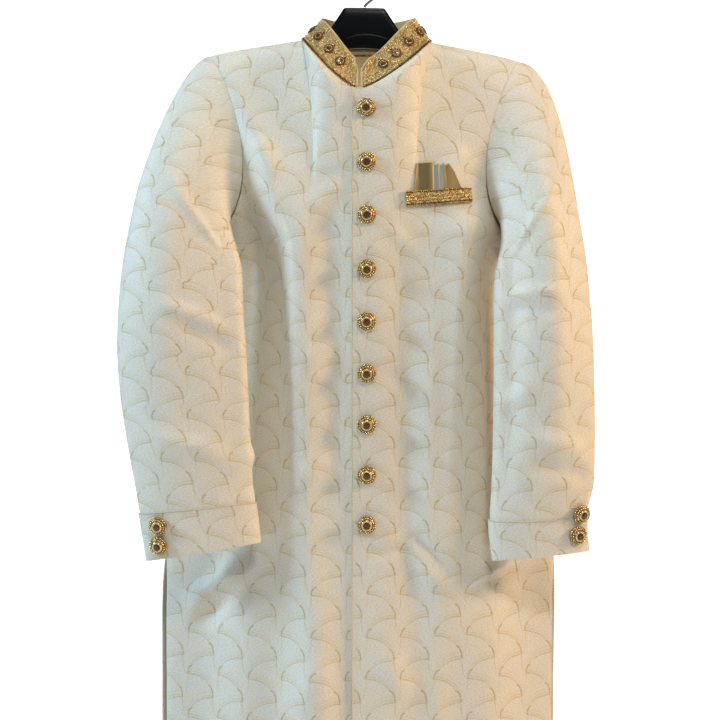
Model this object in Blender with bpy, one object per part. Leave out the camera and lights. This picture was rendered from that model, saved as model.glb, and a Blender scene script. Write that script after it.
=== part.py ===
"""Knee-length sherwani coat hanging on a moulded suit hanger.

Metres, +Z up. The coat's front faces -Y, and the wearer's left is at +X.
The origin is the top of the inside of the hanger's hook, where a rail carries it.
Every cloth piece is a wall of even thickness: an outer grid of points worked out
from the cut's sizes, and the same grid moved in along its normals.
"""

import math
from functools import lru_cache

import bpy
import numpy as np

# Cloth and seams
CLOTH = 0.0020
SEAM_GAP = 0.00015
LAY_GAP = 0.0004
PATCH_GAP = 0.0010

# Neck, shoulders and armholes
NECK_HALF = 0.0925
NECK_FRONT_Y = -0.072
NECK_BACK_Y = 0.055
NECK_POINT_Y = -0.004
NECK_PIT_Z = -0.1760
NECK_POINT_Z = -0.0990
NAPE_Z = -0.108
# The neck's middle lies a little to the wearer's left, and its pit a little to the right
NECK_SHIFT = 0.0030
NECK_PIT_X = -0.0075
NECKLINE_CURVE = 1.50
SHOULDER_HALF = 0.2200
SHOULDER_Z = -0.1235
SHOULDER_TIP_DROP = 0.003
SHOULDER_ROLL = 0.021
UNDERARM_HALF = 0.2250
UNDERARM_Y = 0.014
UNDERARM_Z = -0.3870
ARMHOLE_FRONT = 0.052
ARMHOLE_BACK = 0.050
ARMHOLE_FRONT_SCOOP = 0.052
ARMHOLE_BACK_SCOOP = 0.028

# Hem, slits and front closing
HEM_Z = -1.175
SLIT_TOP_Z = -0.800
SLIT_OPEN_Z = -0.880
PLACKET_EDGE_X = -0.0172
UNDERLAP_X = 0.0260
LAP_LIFT = 0.0028
LAP_FADE_X = (0.036, 0.068)
LAP_TOP_DROP = 0.0030

# The hanger hangs a little down towards the wearer's left
HANG_SLOPE = 0.017
HANG_FADE_Z = (-0.300, -0.620)

# Body sections: height, half widths to the wearer's right and left, depth of the side seam,
# how far front and back stand out at the side curve and in the middle, and where on each
# side the full front starts to fall back under the sleeve
BODY_COLUMNS = (
    "z", "right", "left", "side_y", "front_edge", "front_bulge", "back_edge", "back_bulge",
    "ridge_right", "ridge_left",
)
BODY_SECTIONS = (
    (-0.387, 0.225, 0.225, 0.014, 0.024, 0.066, 0.024, 0.023, 0.100, 0.138),
    (-0.430, 0.223, 0.221, 0.017, 0.022, 0.068, 0.022, 0.021, 0.100, 0.133),
    (-0.510, 0.249, 0.246, 0.020, 0.025, 0.066, 0.025, 0.017, 0.099, 0.126),
    (-0.580, 0.259, 0.255, 0.020, 0.026, 0.061, 0.025, 0.015, 0.098, 0.122),
    (-0.700, 0.268, 0.262, 0.021, 0.026, 0.056, 0.026, 0.016, 0.092, 0.116),
    (-0.850, 0.285, 0.270, 0.018, 0.028, 0.050, 0.027, 0.020, 0.080, 0.106),
    (-1.000, 0.286, 0.268, 0.012, 0.031, 0.044, 0.030, 0.022, 0.070, 0.095),
    (-1.175, 0.284, 0.266, 0.008, 0.034, 0.040, 0.032, 0.024, 0.062, 0.090),
)
# The fall's width just below the underarm, and at the hem; how fast the full part widens
# above the underarm
RIDGE_FALL = (0.062, 0.190)
RIDGE_SPREAD = 0.32
FULL_BACK = (0.060, 0.230)
BACK_SPREAD = 0.90

# Largest soft folds: panel face, place across at the top and bottom, half width, height
# (a trough is negative), and the heights between which the fold runs
FOLD_COLUMNS = ("face", "x_top", "x_bottom", "half_width", "height", "z_top", "z_bottom")
FOLDS = (
    ("front", -0.094, -0.066, 0.021, 0.0070, -0.200, -1.175),
    ("front", -0.140, -0.128, 0.022, -0.0060, -0.330, -0.780),
    ("front", 0.145, 0.112, 0.021, 0.0065, -0.260, -0.930),
    ("front", 0.075, 0.082, 0.026, -0.0035, -0.190, -0.620),
    ("front", -0.172, -0.180, 0.030, 0.0080, -0.800, -1.175),
    ("front", -0.118, -0.124, 0.025, -0.0060, -0.860, -1.175),
    ("front", 0.070, 0.078, 0.028, -0.0055, -0.760, -1.175),
    ("front", 0.178, 0.190, 0.030, 0.0070, -0.840, -1.175),
    ("back", -0.150, -0.160, 0.026, 0.0060, -0.300, -1.175),
    ("back", -0.075, -0.085, 0.026, -0.0050, -0.420, -1.175),
    ("back", 0.070, 0.078, 0.026, -0.0050, -0.380, -1.175),
    ("back", 0.148, 0.158, 0.026, 0.0060, -0.280, -1.175),
)

# Sleeves: the outer and inner edges of each section as they hang, the depth of its middle
# and half its depth; distances from the coat's middle plane
SLEEVE_COLUMNS = ("outer", "outer_z", "inner", "inner_z", "mid_y", "half_depth")
SLEEVE_SECTIONS = {
    "right": (
        (0.3210, -0.345, 0.1705, -0.430, -0.059, 0.039),
        (0.3350, -0.415, 0.1695, -0.460, -0.063, 0.040),
        (0.3410, -0.480, 0.1680, -0.490, -0.066, 0.039),
        (0.3420, -0.545, 0.1640, -0.545, -0.067, 0.037),
        (0.3360, -0.610, 0.1610, -0.602, -0.067, 0.034),
        (0.3260, -0.673, 0.1575, -0.658, -0.066, 0.031),
        (0.3150, -0.731, 0.1540, -0.711, -0.064, 0.027),
        (0.3070, -0.779, 0.1490, -0.756, -0.063, 0.024),
        (0.2996, -0.825, 0.1443, -0.799, -0.062, 0.021),
    ),
    "left": (
        (0.2970, -0.345, 0.1785, -0.430, -0.059, 0.040),
        (0.3065, -0.405, 0.1780, -0.460, -0.063, 0.041),
        (0.3120, -0.465, 0.1780, -0.490, -0.066, 0.041),
        (0.3160, -0.530, 0.1780, -0.548, -0.067, 0.040),
        (0.3175, -0.595, 0.1775, -0.606, -0.067, 0.037),
        (0.3180, -0.658, 0.1765, -0.666, -0.066, 0.033),
        (0.3165, -0.717, 0.1745, -0.726, -0.064, 0.028),
        (0.3065, -0.763, 0.1725, -0.776, -0.063, 0.024),
        (0.3085, -0.811, 0.1774, -0.824, -0.062, 0.021),
    ),
}
SLEEVE_TWIST = math.radians(35)
SLEEVE_BACK_SEAM_ROW = 0.33
SLEEVE_FRONT_SEAM_ROW = 0.82
SLEEVE_SEAMS_AT_CUFF = (math.radians(-14), math.radians(194))
# How strongly the sleeve's head swells on each side, and how strongly its underside
HEAD_PULL = {"right": 0.42, "left": 0.66}
UNDERARM_PULL = 1.00
# How far the sleeve's lowest point stands off the underarm, so the deep fold there stays open
UNDERARM_CLEAR = np.array([0.0040, -0.0010, 0.0028])
# Directions in which the sleeve leaves the armhole
SHOULDER_LEAVE = np.array([0.99, 0.0, -0.12])
UNDERARM_LEAVE = np.array([1.00, 0.00, 0.10])
FRONT_LEAVE = np.array([0.35, -0.45, -0.82])
# Soft folds along the sleeves: turn round the sleeve in degrees at the top and bottom, half
# width in degrees, height, and the rows between which the fold runs
SLEEVE_FOLD_COLUMNS = ("side", "turn_top", "turn_bottom", "half_width", "height", "row_top", "row_bottom")
SLEEVE_FOLDS = (
    ("right", 60, 100, 24, 0.0040, 0.40, 1.60),
    ("right", 115, 140, 24, -0.0045, 0.55, 1.90),
    ("right", 20, 35, 26, -0.0035, 0.90, 1.90),
    ("right", 215, 235, 30, 0.0040, 0.60, 1.80),
    ("right", 290, 300, 30, -0.0040, 0.50, 1.70),
    ("left", 75, 95, 24, 0.0040, 0.50, 1.60),
    ("left", 125, 150, 22, -0.0045, 0.60, 1.95),
    ("left", 35, 45, 26, -0.0035, 0.90, 1.90),
    ("left", 225, 240, 30, 0.0040, 0.60, 1.80),
    ("left", 295, 305, 30, -0.0040, 0.50, 1.70),
)
# Cuff bands: height at the sleeve's outer and inner edge
CUFF_HEIGHTS = {"right": (0.066, 0.053), "left": (0.046, 0.056)}
CUFF_WALL = 0.0014

# Collar: a stand band with rounded front corners and raised round motifs
COLLAR_WALL = 0.0026
COLLAR_HEIGHT = 0.042
COLLAR_END_HEIGHT = 0.026
COLLAR_CORNER = 0.024
# The front ends' distance from the pit, as a share of the neckline's half width
COLLAR_END_SHARE = 0.036
COLLAR_LEAN = {"middle": 0.42, "side": 0.86, "back": 0.25}
COLLAR_LEAN_ACROSS = 0.14
MOTIF_PITCH = 0.0232
MOTIF_RADIUS = 0.0074
MOTIF_RISE = 0.0016
COLLAR_ROWS = (0.0, 0.32, 0.42, 0.58, 0.68, 1.0)
MOTIF_STEPS = (-0.34, -0.15, 0.15, 0.34)

# Buttons
BUTTON_COUNT = 9
BUTTON_X = 0.0030
BUTTON_TOP_Z = -0.2009
BUTTON_PITCH = 0.0751
BUTTON_PITCH_EASE = 0.00042
BUTTON_PROFILE = ((0.0090, 0.0), (0.0129, 0.0030), (0.0114, 0.0072), (0.0064, 0.0101))
BUTTON_CROWN = 0.0112
BUTTON_SEGMENTS = 12
BUTTON_GAP = 0.0004
# Cuff buttons: turn round the sleeve in degrees, and height above the sleeve's end
CUFF_BUTTONS = {"right": ((43, 0.0470), (40, 0.0200)), "left": ((32, 0.0540), (37, 0.0250))}

# Breast pocket
WELT_MIDDLE = (0.1012, -0.3222)
WELT_SIZE = (0.090, 0.0205)
WELT_SLOPE = math.radians(4.6)
WELT_WALL = 0.0030
WELT_GAP = 0.0023
SQUARE_LEFT_X = -0.034
SQUARE_TOP = 0.0405
SQUARE_WALL = 0.0016

# Inside back neck
FACING_ROW_COUNT = 5
FACING_WALL = 0.0008
LABEL_SIZE = (0.046, 0.020)
LABEL_MIDDLE_X = 0.0085
LABEL_TOP_DROP = 0.0035

# Hanger: distance from the middle, top and bottom heights, half thickness front to back
HANGER_COLUMNS = ("x", "top", "bottom", "half_depth")
HANGER_SECTIONS = (
    (0.000, -0.0515, -0.1115, 0.0130),
    (0.018, -0.0515, -0.1125, 0.0130),
    (0.0275, -0.0517, -0.1142, 0.0130),
    (0.0300, -0.0540, -0.1150, 0.0130),
    (0.0385, -0.0672, -0.1180, 0.0132),
    (0.0470, -0.0800, -0.1210, 0.0135),
    (0.0580, -0.0945, -0.1245, 0.0138),
    (0.0700, -0.1020, -0.1280, 0.0140),
    (0.0850, -0.1040, -0.1320, 0.0140),
    (0.1050, -0.1055, -0.1360, 0.0136),
    (0.1350, -0.1112, -0.1400, 0.0134),
    (0.1650, -0.1170, -0.1450, 0.0132),
    (0.1880, -0.1216, -0.1490, 0.0124),
    (0.2020, -0.1256, -0.1500, 0.0104),
    (0.2080, -0.1310, -0.1440, 0.0060),
)
HOOK_INNER = 0.0200
HOOK_WIRE = 0.0019
HOOK_TIP_ANGLE = math.radians(222)


def smooth(share):
    """0 to 1 with level ends."""
    share = np.clip(share, 0.0, 1.0)
    return share * share * (3.0 - 2.0 * share)


def blend(first, second, share):
    return first + (second - first) * share


def unit(vectors):
    return vectors / np.maximum(np.linalg.norm(vectors, axis=-1, keepdims=True), 1e-12)


def curve_through(at, stations, values, last_slope=None):
    """A smooth curve through values at rising stations, with the slopes of their neighbours."""
    stations = np.asarray(stations, float)
    values = np.asarray(values, float)
    slopes = np.gradient(values, stations, axis=0)
    if last_slope is not None:
        slopes[-1] = last_slope
    i = np.clip(np.searchsorted(stations, at) - 1, 0, len(stations) - 2)
    span = stations[i + 1] - stations[i]
    s = np.clip((at - stations[i]) / span, 0.0, 1.0)
    if values.ndim > 1:
        s = s[..., None]
        span = span[..., None]
    return (
        values[i] * (1 + 2 * s) * (1 - s) ** 2
        + slopes[i] * span * s * (1 - s) ** 2
        + values[i + 1] * s * s * (3 - 2 * s)
        - slopes[i + 1] * span * s * s * (1 - s)
    )


def body_size(name, z):
    """One named size of the body at height z, level at the underarm."""
    table = np.array(BODY_SECTIONS)[::-1]
    values = table[:, BODY_COLUMNS.index(name)]
    return curve_through(z, table[:, 0], values, last_slope=0.0)


def side_name(side):
    return "left" if side > 0 else "right"


def neckline(face, share):
    """The neck seam from the middle (0) to a neck point (1 or -1)."""
    across = np.abs(share)
    depth = NECK_FRONT_Y if face == "front" else NECK_BACK_Y
    low = NECK_PIT_Z if face == "front" else NAPE_Z
    power = NECKLINE_CURVE if face == "front" else 2.0
    x = NECK_HALF * share + blend(NECK_PIT_X if face == "front" else NECK_SHIFT, NECK_SHIFT, across)
    y = depth * np.sqrt(np.maximum(1 - across**2, 0)) + NECK_POINT_Y * across
    z = low + (NECK_POINT_Z - low) * across**power
    return x, y, z


def shoulder_seam(side, share):
    """The shoulder seam from the neck point (0) to the armhole (1), on one side."""
    x = blend(NECK_HALF + side * NECK_SHIFT, SHOULDER_HALF, share)
    y = blend(NECK_POINT_Y, 0.0, share)
    z = blend(NECK_POINT_Z, SHOULDER_Z, share) - SHOULDER_TIP_DROP * (share**6 - share)
    return x, y, z


def armhole(turn):
    """The armhole seam of the wearer's left side: 0 at the shoulder, half a turn at the
    underarm by way of the front, and back up behind."""
    s = np.sin(turn)
    fall = (1 - np.cos(turn)) / 2
    in_front = s > 0
    reach = np.where(in_front, ARMHOLE_FRONT, ARMHOLE_BACK)
    scoop = np.where(in_front, ARMHOLE_FRONT_SCOOP, ARMHOLE_BACK_SCOOP)
    x = blend(SHOULDER_HALF, UNDERARM_HALF, fall)
    x = x - scoop * np.abs(s) ** 1.3 * (1 - 0.35 * np.cos(turn))
    y = UNDERARM_Y * fall - reach * s
    z = blend(SHOULDER_Z, UNDERARM_Z, fall)
    return x, y, z


def fold_height(face, x, z):
    """How far the folds move the cloth out from the plain section."""
    total = np.zeros(np.broadcast(x, z).shape)
    for row in FOLDS:
        fold = dict(zip(FOLD_COLUMNS, row))
        if fold["face"] != face:
            continue
        down = (fold["z_top"] - z) / (fold["z_top"] - fold["z_bottom"])
        middle = blend(fold["x_top"], fold["x_bottom"], down)
        ends_free = fold["z_bottom"] <= HEM_Z
        run = smooth(down / 0.25) * (1.0 if ends_free else smooth((1 - down) / 0.25))
        total = total + fold["height"] * run * np.exp(-(((x - middle) / fold["half_width"]) ** 2))
    return total


def section_depth(face, side, x, z):
    """The depth of the body at distance x from the middle and height z. Above the underarm
    the sizes stay those of the underarm, and only the full part widens."""
    level = np.minimum(z, UNDERARM_Z)
    above = z - level
    share = np.clip(x / body_size(side_name(side), level), 0.0, 1.0)
    if face == "front":
        start = body_size("ridge_" + side_name(side), level) + RIDGE_SPREAD * above
        width = blend(*RIDGE_FALL, smooth((UNDERARM_Z - level) / (UNDERARM_Z - HEM_Z)))
    else:
        start = FULL_BACK[0] + BACK_SPREAD * above
        width = FULL_BACK[1] - FULL_BACK[0]
    out = body_size(face + "_edge", level) * np.sqrt(1 - share**2)
    out = out + body_size(face + "_bulge", level) * (1 - smooth((x - start) / width))
    out = out + fold_height(face, side * x, z) * (1 - share**8)
    return body_size("side_y", level) + (-out if face == "front" else out)


def body_point(face, column, row):
    """A point on the coat's body. column runs from the middle (0) to the side seams (1 and
    -1), row from the neck and shoulder seam (0) past the underarm (1) to the hem (2)."""
    column, row = np.broadcast_arrays(np.asarray(column, float), np.asarray(row, float))
    side = np.where(column < 0, -1.0, 1.0)
    points = np.zeros(column.shape + (3,))
    for sign in (1.0, -1.0):
        mask = side == sign
        if mask.any():
            points[mask] = half_body_point(face, sign, np.abs(column[mask]), row[mask])
    return points


NECK_COLUMN = 0.28


def half_body_point(face, side, c, row):
    t = np.clip(row, 0.0, 1.0)
    fall = (1 - np.cos(math.pi * t)) / 2
    ease = np.sin(fall * math.pi / 2)
    sign = 1.0 if face == "front" else -1.0
    neck_share = np.clip(c / NECK_COLUMN, 0.0, 1.0)
    seam_share = np.sin(np.clip((c - NECK_COLUMN) / (1 - NECK_COLUMN), 0.0, 1.0) * math.pi / 2)
    on_neck = c < NECK_COLUMN
    neck = neckline(face, side * neck_share)
    neck = (side * neck[0], neck[1], neck[2])
    top = [np.where(on_neck, a, b) for a, b in zip(neck, shoulder_seam(side, seam_share))]
    hole = armhole(sign * math.pi * t)
    # above the underarm, the columns close up where the armhole scoops in
    side_line = blend(SHOULDER_HALF, UNDERARM_HALF, fall)
    x = blend(top[0], UNDERARM_HALF * np.sin(c * math.pi / 2), fall) * hole[0] / side_line
    z = blend(top[2], UNDERARM_Z, fall)
    y = head_depth(face, side, x, z, top, ease, smooth(c / NECK_COLUMN))
    edge_z = blend(SHOULDER_Z, UNDERARM_Z, fall)
    edge = head_depth(face, side, hole[0], edge_z, (None, 0.0, SHOULDER_Z), ease, 1.0)
    y = y + (x / hole[0]) ** 5 * (hole[1] - edge)
    # below it, the sections
    below = row > 1.0
    low_z = blend(UNDERARM_Z, HEM_Z, np.maximum(row - 1.0, 0.0))
    low_x = body_size(side_name(side), low_z) * np.sin(c * math.pi / 2)
    x = np.where(below, low_x, x)
    y = np.where(below, section_depth(face, side, low_x, low_z), y)
    z = np.where(below, low_z, z)
    x, y = open_slit(face, side, c, x, y, z)
    return np.stack([side * x, y, z], axis=-1)


def head_depth(face, side, x, z, top, ease, rolled):
    """The body's depth above the underarm: it rolls over the shoulder and eases into the
    chest's section."""
    drop = np.clip((top[2] - z) / SHOULDER_ROLL, 0.0, 1.0)
    roll = SHOULDER_ROLL * np.sqrt(1 - (1 - drop) ** 2) * rolled * (1 - ease)
    roll = -roll if face == "front" else roll
    return top[1] * (1 - ease) + section_depth(face, side, x, z) * ease + roll


def open_slit(face, side, c, x, y, z):
    """Below the hip the side seam is open: the front edge draws in and the back stands out."""
    opened = smooth((SLIT_TOP_Z - z) / (SLIT_TOP_Z - SLIT_OPEN_Z)) * c**10
    amount = 1.0 if side < 0 else 0.35
    if face == "front":
        return x - 0.0090 * amount * opened, y - 0.0040 * opened
    return x + 0.0015 * amount * opened, y + 0.0020 * opened


def sleeve_ring(side, angle, along):
    """A point on the hanging sleeve. angle 0 is its outer edge and a quarter turn its front;
    along runs from the first section (0) to the cuff's end (1)."""
    table = np.array(SLEEVE_SECTIONS[side_name(side)])
    stations = np.linspace(0, 1, len(table))
    size = {n: curve_through(along, stations, table[:, i]) for i, n in enumerate(SLEEVE_COLUMNS)}
    c, s = np.cos(angle), np.sin(angle)
    fold = sleeve_fold(side, angle, 1.0 + along)
    x = blend(size["inner"], size["outer"], (1 + c) / 2) + fold * c
    z = blend(size["inner_z"], size["outer_z"], (1 + c) / 2)
    y = size["mid_y"] - (size["half_depth"] + fold) * s
    return np.stack([x, y, z], axis=-1)


def sleeve_fold(side, angle, row):
    """How far the folds move the sleeve's cloth out."""
    total = np.zeros(np.broadcast(angle, row).shape)
    for line in SLEEVE_FOLDS:
        fold = dict(zip(SLEEVE_FOLD_COLUMNS, line))
        if fold["side"] != side_name(side):
            continue
        down = (row - fold["row_top"]) / (fold["row_bottom"] - fold["row_top"])
        middle = np.radians(blend(fold["turn_top"], fold["turn_bottom"], down))
        away = np.abs((angle - middle + math.pi) % (2 * math.pi) - math.pi)
        run = smooth(down / 0.3) * smooth((1 - down) / 0.3)
        total = total + fold["height"] * run * np.exp(-((away / math.radians(fold["half_width"])) ** 2))
    return total


def sleeve_point(side, angle, row):
    """A point on the sleeve. row runs from the armhole (0) past the first hanging section (1)
    to the cuff's end (2)."""
    angle, row = np.broadcast_arrays(np.asarray(angle, float), np.asarray(row, float))
    turned = angle + SLEEVE_TWIST * (1 - np.cos(angle)) / 2
    under = (((1 - np.cos(angle)) / 2) ** 4)[..., None]
    start = np.stack(armhole(angle), axis=-1) + UNDERARM_CLEAR * under
    first = sleeve_ring(side, turned, np.zeros_like(row))
    step = 1e-3
    onward = unit(sleeve_ring(side, turned, np.full_like(row, step)) - first)
    gap = np.linalg.norm(first - start, axis=-1, keepdims=True)
    upper = ((1 + np.cos(angle)) / 2)[..., None]
    ahead = np.maximum(np.sin(angle), 0.0)[..., None]
    leave = blend(blend(UNDERARM_LEAVE, FRONT_LEAVE, ahead), SHOULDER_LEAVE, upper)
    pull = blend(UNDERARM_PULL, HEAD_PULL[side_name(side)], upper)
    t = np.clip(row, 0.0, 1.0)[..., None]
    head = (
        start * (1 + 2 * t) * (1 - t) ** 2
        + leave * gap * pull * t * (1 - t) ** 2
        + first * t * t * (3 - 2 * t)
        - onward * gap * 0.9 * t * t * (1 - t)
    )
    hanging = sleeve_ring(side, turned, np.clip(row - 1.0, 0.0, 1.0))
    points = np.where((row > 1.0)[..., None], hanging, head)
    return points * np.array([side, 1.0, 1.0])


def sleeve_length(side, angle):
    """The rows of the hanging sleeve and its length down to each of them, along one turn."""
    rows = np.linspace(1.0, 2.0, 60)
    line = sleeve_point(side, np.asarray(angle)[..., None], rows)
    steps = np.linalg.norm(np.diff(line, axis=-2), axis=-1)
    return rows, np.concatenate([np.zeros(steps.shape[:-1] + (1,)), np.cumsum(steps, axis=-1)], axis=-1)


def row_above_end(side, angle, height):
    """The sleeve row that lies this far above the sleeve's end, for each angle."""
    angle = np.atleast_1d(angle)
    height = np.broadcast_to(height, angle.shape)
    rows, length = sleeve_length(side, angle)
    return np.array([np.interp(line[-1] - h, line, rows) for line, h in zip(length, height)])


def cuff_top(side, angle):
    """The row at which the cuff band starts."""
    outer, inner = CUFF_HEIGHTS[side_name(side)]
    return row_above_end(side, angle, blend(inner, outer, (1 + np.cos(angle)) / 2))


def hang(points):
    """The hanger's small slope, which fades out below the chest."""
    top, bottom = HANG_FADE_Z
    points = np.array(points, float)
    fade = 1 - smooth((top - points[..., 2]) / (top - bottom))
    points[..., 2] -= HANG_SLOPE * points[..., 0] * fade
    return points


def normals_of(points, closed=False):
    """Outward normals of a grid whose rows run down and whose columns run round to +X as
    seen from the front."""
    if closed:
        across = np.roll(points, -1, axis=1) - np.roll(points, 1, axis=1)
    else:
        across = np.gradient(points, axis=1)
    down = np.gradient(points, axis=0)
    return unit(np.cross(down, across))


def settled(points, normals):
    """Wall directions between the surface's own and those of the facets."""
    facets = normals_of(points)
    return unit(normals + facets * np.sign((facets * normals).sum()))


def inset(points, left=0.0, right=0.0, top=0.0, bottom=0.0):
    """Moves the edges of a grid in, so that pieces lie apart at their seams."""
    points = points.copy()
    for edge, inner, gap in (
        ((slice(None), 0), (slice(None), 1), left),
        ((slice(None), -1), (slice(None), -2), right),
        ((0, slice(None)), (1, slice(None)), top),
        ((-1, slice(None)), (-2, slice(None)), bottom),
    ):
        if gap:
            points[edge] += gap * unit(points[inner] - points[edge])
    return points


def volume(vertices, faces):
    """Six times the signed volume that the faces close in."""
    total = 0.0
    for face in faces:
        a = vertices[face[0]]
        for m, n in zip(face[1:-1], face[2:]):
            total += float(np.dot(a, np.cross(vertices[m], vertices[n])))
    return total


def finish(name, vertices, faces, material):
    """One closed mesh object with its faces pointing out."""
    vertices = hang(vertices)
    if volume(vertices, faces) < 0:
        faces = [face[::-1] for face in faces]
    mesh = bpy.data.meshes.new(name)
    mesh.from_pydata([tuple(v) for v in vertices], [], faces)
    mesh.update()
    mesh.shade_smooth()
    mesh.set_sharp_from_angle(angle=math.radians(50))
    mesh.materials.append(material)
    piece = bpy.data.objects.new(name, mesh)
    bpy.context.scene.collection.objects.link(piece)
    return piece


def grid_faces(rows, columns, closed, offset, flip, shape=None):
    """The faces of a grid: fours, or threes cut along the shorter diagonal of a shape."""
    faces = []
    last = columns if closed else columns - 1
    for i in range(rows - 1):
        for j in range(last):
            k = (j + 1) % columns
            corners = [i * columns + j, i * columns + k, (i + 1) * columns + k, (i + 1) * columns + j]
            parts = [corners]
            if shape is not None:
                a, b, c, d = (shape[corner] for corner in corners)
                turned = np.linalg.norm(a - c) > np.linalg.norm(b - d)
                first = corners[1:] + corners[:1] if turned else corners
                parts = [first[:3], [first[0], first[2], first[3]]]
            for part in parts:
                part = [offset + corner for corner in part]
                faces.append(part[::-1] if flip else part)
    return faces


def wall(name, outer, inner, material, closed=False):
    """A closed wall between an outer and an inner grid of the same size."""
    rows, columns = outer.shape[:2]
    count = rows * columns
    vertices = np.concatenate([outer.reshape(-1, 3), inner.reshape(-1, 3)])
    # both sheets are cut along the same diagonals, so that they can't cross
    faces = grid_faces(rows, columns, closed, 0, True, vertices)
    faces += grid_faces(rows, columns, closed, count, False, vertices)
    rim = [(0, j) for j in range(columns)]
    low = [(rows - 1, j) for j in range(columns)]
    if closed:
        loops = [rim + rim[:1], low[::-1] + low[-1:]]
    else:
        right = [(i, columns - 1) for i in range(rows)]
        left = [(i, 0) for i in range(rows)]
        loops = [rim, right, low[::-1], left[::-1]]
    for loop in loops:
        for (i, j), (m, n) in zip(loop, loop[1:]):
            a, b = i * columns + j, m * columns + n
            faces.append([a, b, b + count, a + count])
    return finish(name, vertices, faces, material)


def colour(name, rgb, roughness, metallic=0.0):
    material = bpy.data.materials.new(name)
    material.use_nodes = True
    shader = material.node_tree.nodes["Principled BSDF"]
    shader.inputs["Base Color"].default_value = (*rgb, 1.0)
    shader.inputs["Roughness"].default_value = roughness
    shader.inputs["Metallic"].default_value = metallic
    return material


HEAD_ROWS = (0.0, 0.06, 0.13, 0.22, 0.33, 0.45, 0.57, 0.69, 0.82, 1.0)
SKIRT_ROWS = 11
NECK_COLUMNS = (0.0, 0.045, 0.09, 0.135, 0.18, 0.23, NECK_COLUMN)
SIDE_COLUMNS = (0.35, 0.42, 0.49, 0.56, 0.64, 0.73, 0.85, 1.0)
SLEEVE_HEAD_ROWS = (0.0, 0.11, 0.24, 0.40, 0.58, 0.78, 1.0)
SLEEVE_ARM_STEPS = 6
CUFF_STEPS = 2


def body_rows():
    skirt = 1.0 + np.arange(1, SKIRT_ROWS + 1) / SKIRT_ROWS
    return np.concatenate([HEAD_ROWS, skirt])


def column_at(face, x, rows):
    """The column that lies at distance x from the middle, for each row."""
    tries = np.sign(x) * np.linspace(0, 0.3, 61)
    reach = body_point(face, tries[None, :], rows[:, None])[..., 0]
    return np.array([np.interp(abs(x), np.abs(line), np.abs(tries)) for line in reach]) * np.sign(x)


def body_normals(face, columns, rows):
    """Outward normals of a body face."""
    columns, rows = np.broadcast_arrays(np.asarray(columns, float), np.asarray(rows, float))
    step = 0.008
    right = body_point(face, np.minimum(columns + step, 1.0), rows)
    left = body_point(face, np.maximum(columns - step, -1.0), rows)
    low = body_point(face, columns, np.minimum(rows + step, 2.0))
    high = body_point(face, columns, np.maximum(rows - step, 0.0))
    normals = unit(np.cross(low - high, right - left))
    return normals if face == "front" else -normals


def lap_shift(points, normals):
    """How far the overlapping front is moved out near the middle."""
    fade = 1 - smooth((points[..., 0] - LAP_FADE_X[0]) / (LAP_FADE_X[1] - LAP_FADE_X[0]))
    level = unit(normals * np.array([1.0, 1.0, 0.0]))
    return level * (LAP_LIFT * fade)[..., None]


def body_panel(name, face, side, start_x, material):
    """One front or back panel, from start_x near the middle to its side seam."""
    rows = body_rows()
    columns = side * np.array(NECK_COLUMNS + SIDE_COLUMNS)
    columns = np.broadcast_to(columns, (len(rows), len(columns)))
    if start_x:
        lap = [column_at(face, start_x, rows), np.full(len(rows), -side * NECK_COLUMNS[1])]
        lap = lap if start_x * side < -UNDERLAP_X / 2 and side < 0 else lap[:1]
        columns = np.concatenate([np.stack(lap, axis=1), columns], axis=1)
    points = body_point(face, columns, rows[:, None])
    own = body_normals(face, columns, rows[:, None])
    normals = settled(points, own)
    other = body_normals("back" if face == "front" else "front", columns, rows[:, None])
    on_shoulder = np.abs(columns[0]) >= NECK_COLUMN
    normals[0][on_shoulder] = unit(own[0] + other[0])[on_shoulder]
    normals[0][~on_shoulder] = neck_mitre(face, columns[0] / NECK_COLUMN)[~on_shoulder]
    closed_seam = (rows >= 1.0) & (points[:, -1, 2] > SLIT_OPEN_Z)
    normals[:, -1][closed_seam] = unit(own[:, -1] + other[:, -1])[closed_seam]
    in_armhole = rows <= 1.0
    turn = (1 if face == "front" else -1) * math.pi * rows[in_armhole]
    normals[in_armhole, -1] = armhole_normals(side, turn)[0]
    if face == "front" and side > 0:
        points = points + lap_shift(points, normals)
    if face == "back":
        normals[:, 0, 0] = 0.0
        normals[:, 0] = unit(normals[:, 0])
    middle_gap = 0.0 if face == "front" else SEAM_GAP
    outer = inset(points, left=middle_gap, right=SEAM_GAP, top=SEAM_GAP)
    if side < 0 and start_x:
        # the underlap's top edge stays below the collar
        outer[:, :3] = lowered(outer[:, :3])
    return wall(name, outer, outer - normals * CLOTH, material)


def lowered(points):
    """Moves the top of some columns down, less and less from row to row."""
    steps = np.diff(points, axis=0)
    length = np.linalg.norm(steps, axis=-1, keepdims=True)
    down = np.concatenate([np.zeros_like(length[:1]), np.cumsum(length, axis=0)])
    way = unit(np.concatenate([steps, steps[-1:]]))
    return points + way * LAP_TOP_DROP * np.exp(-down / (2 * LAP_TOP_DROP))


def locate(face, x, z):
    """The column and row at which a body face lies at x and z."""
    column = np.asarray(x, float) * 3.0
    row = 1.0 + (UNDERARM_Z - np.asarray(z, float)) / (UNDERARM_Z - HEM_Z)
    row = np.clip(row, 0.5, 2.0)
    for _ in range(40):
        point = body_point(face, column, row)
        column = np.clip(column + (x - point[..., 0]) * 2.2, -1.0, 1.0)
        row = np.clip(row + (point[..., 2] - z) * 1.2, 0.02, 2.0)
    return column, row


def on_body(face, x, z):
    """Points on a body face at x and z, and its outward normals there."""
    column, row = locate(face, x, z)
    return body_point(face, column, row), body_normals(face, column, row)


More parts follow.
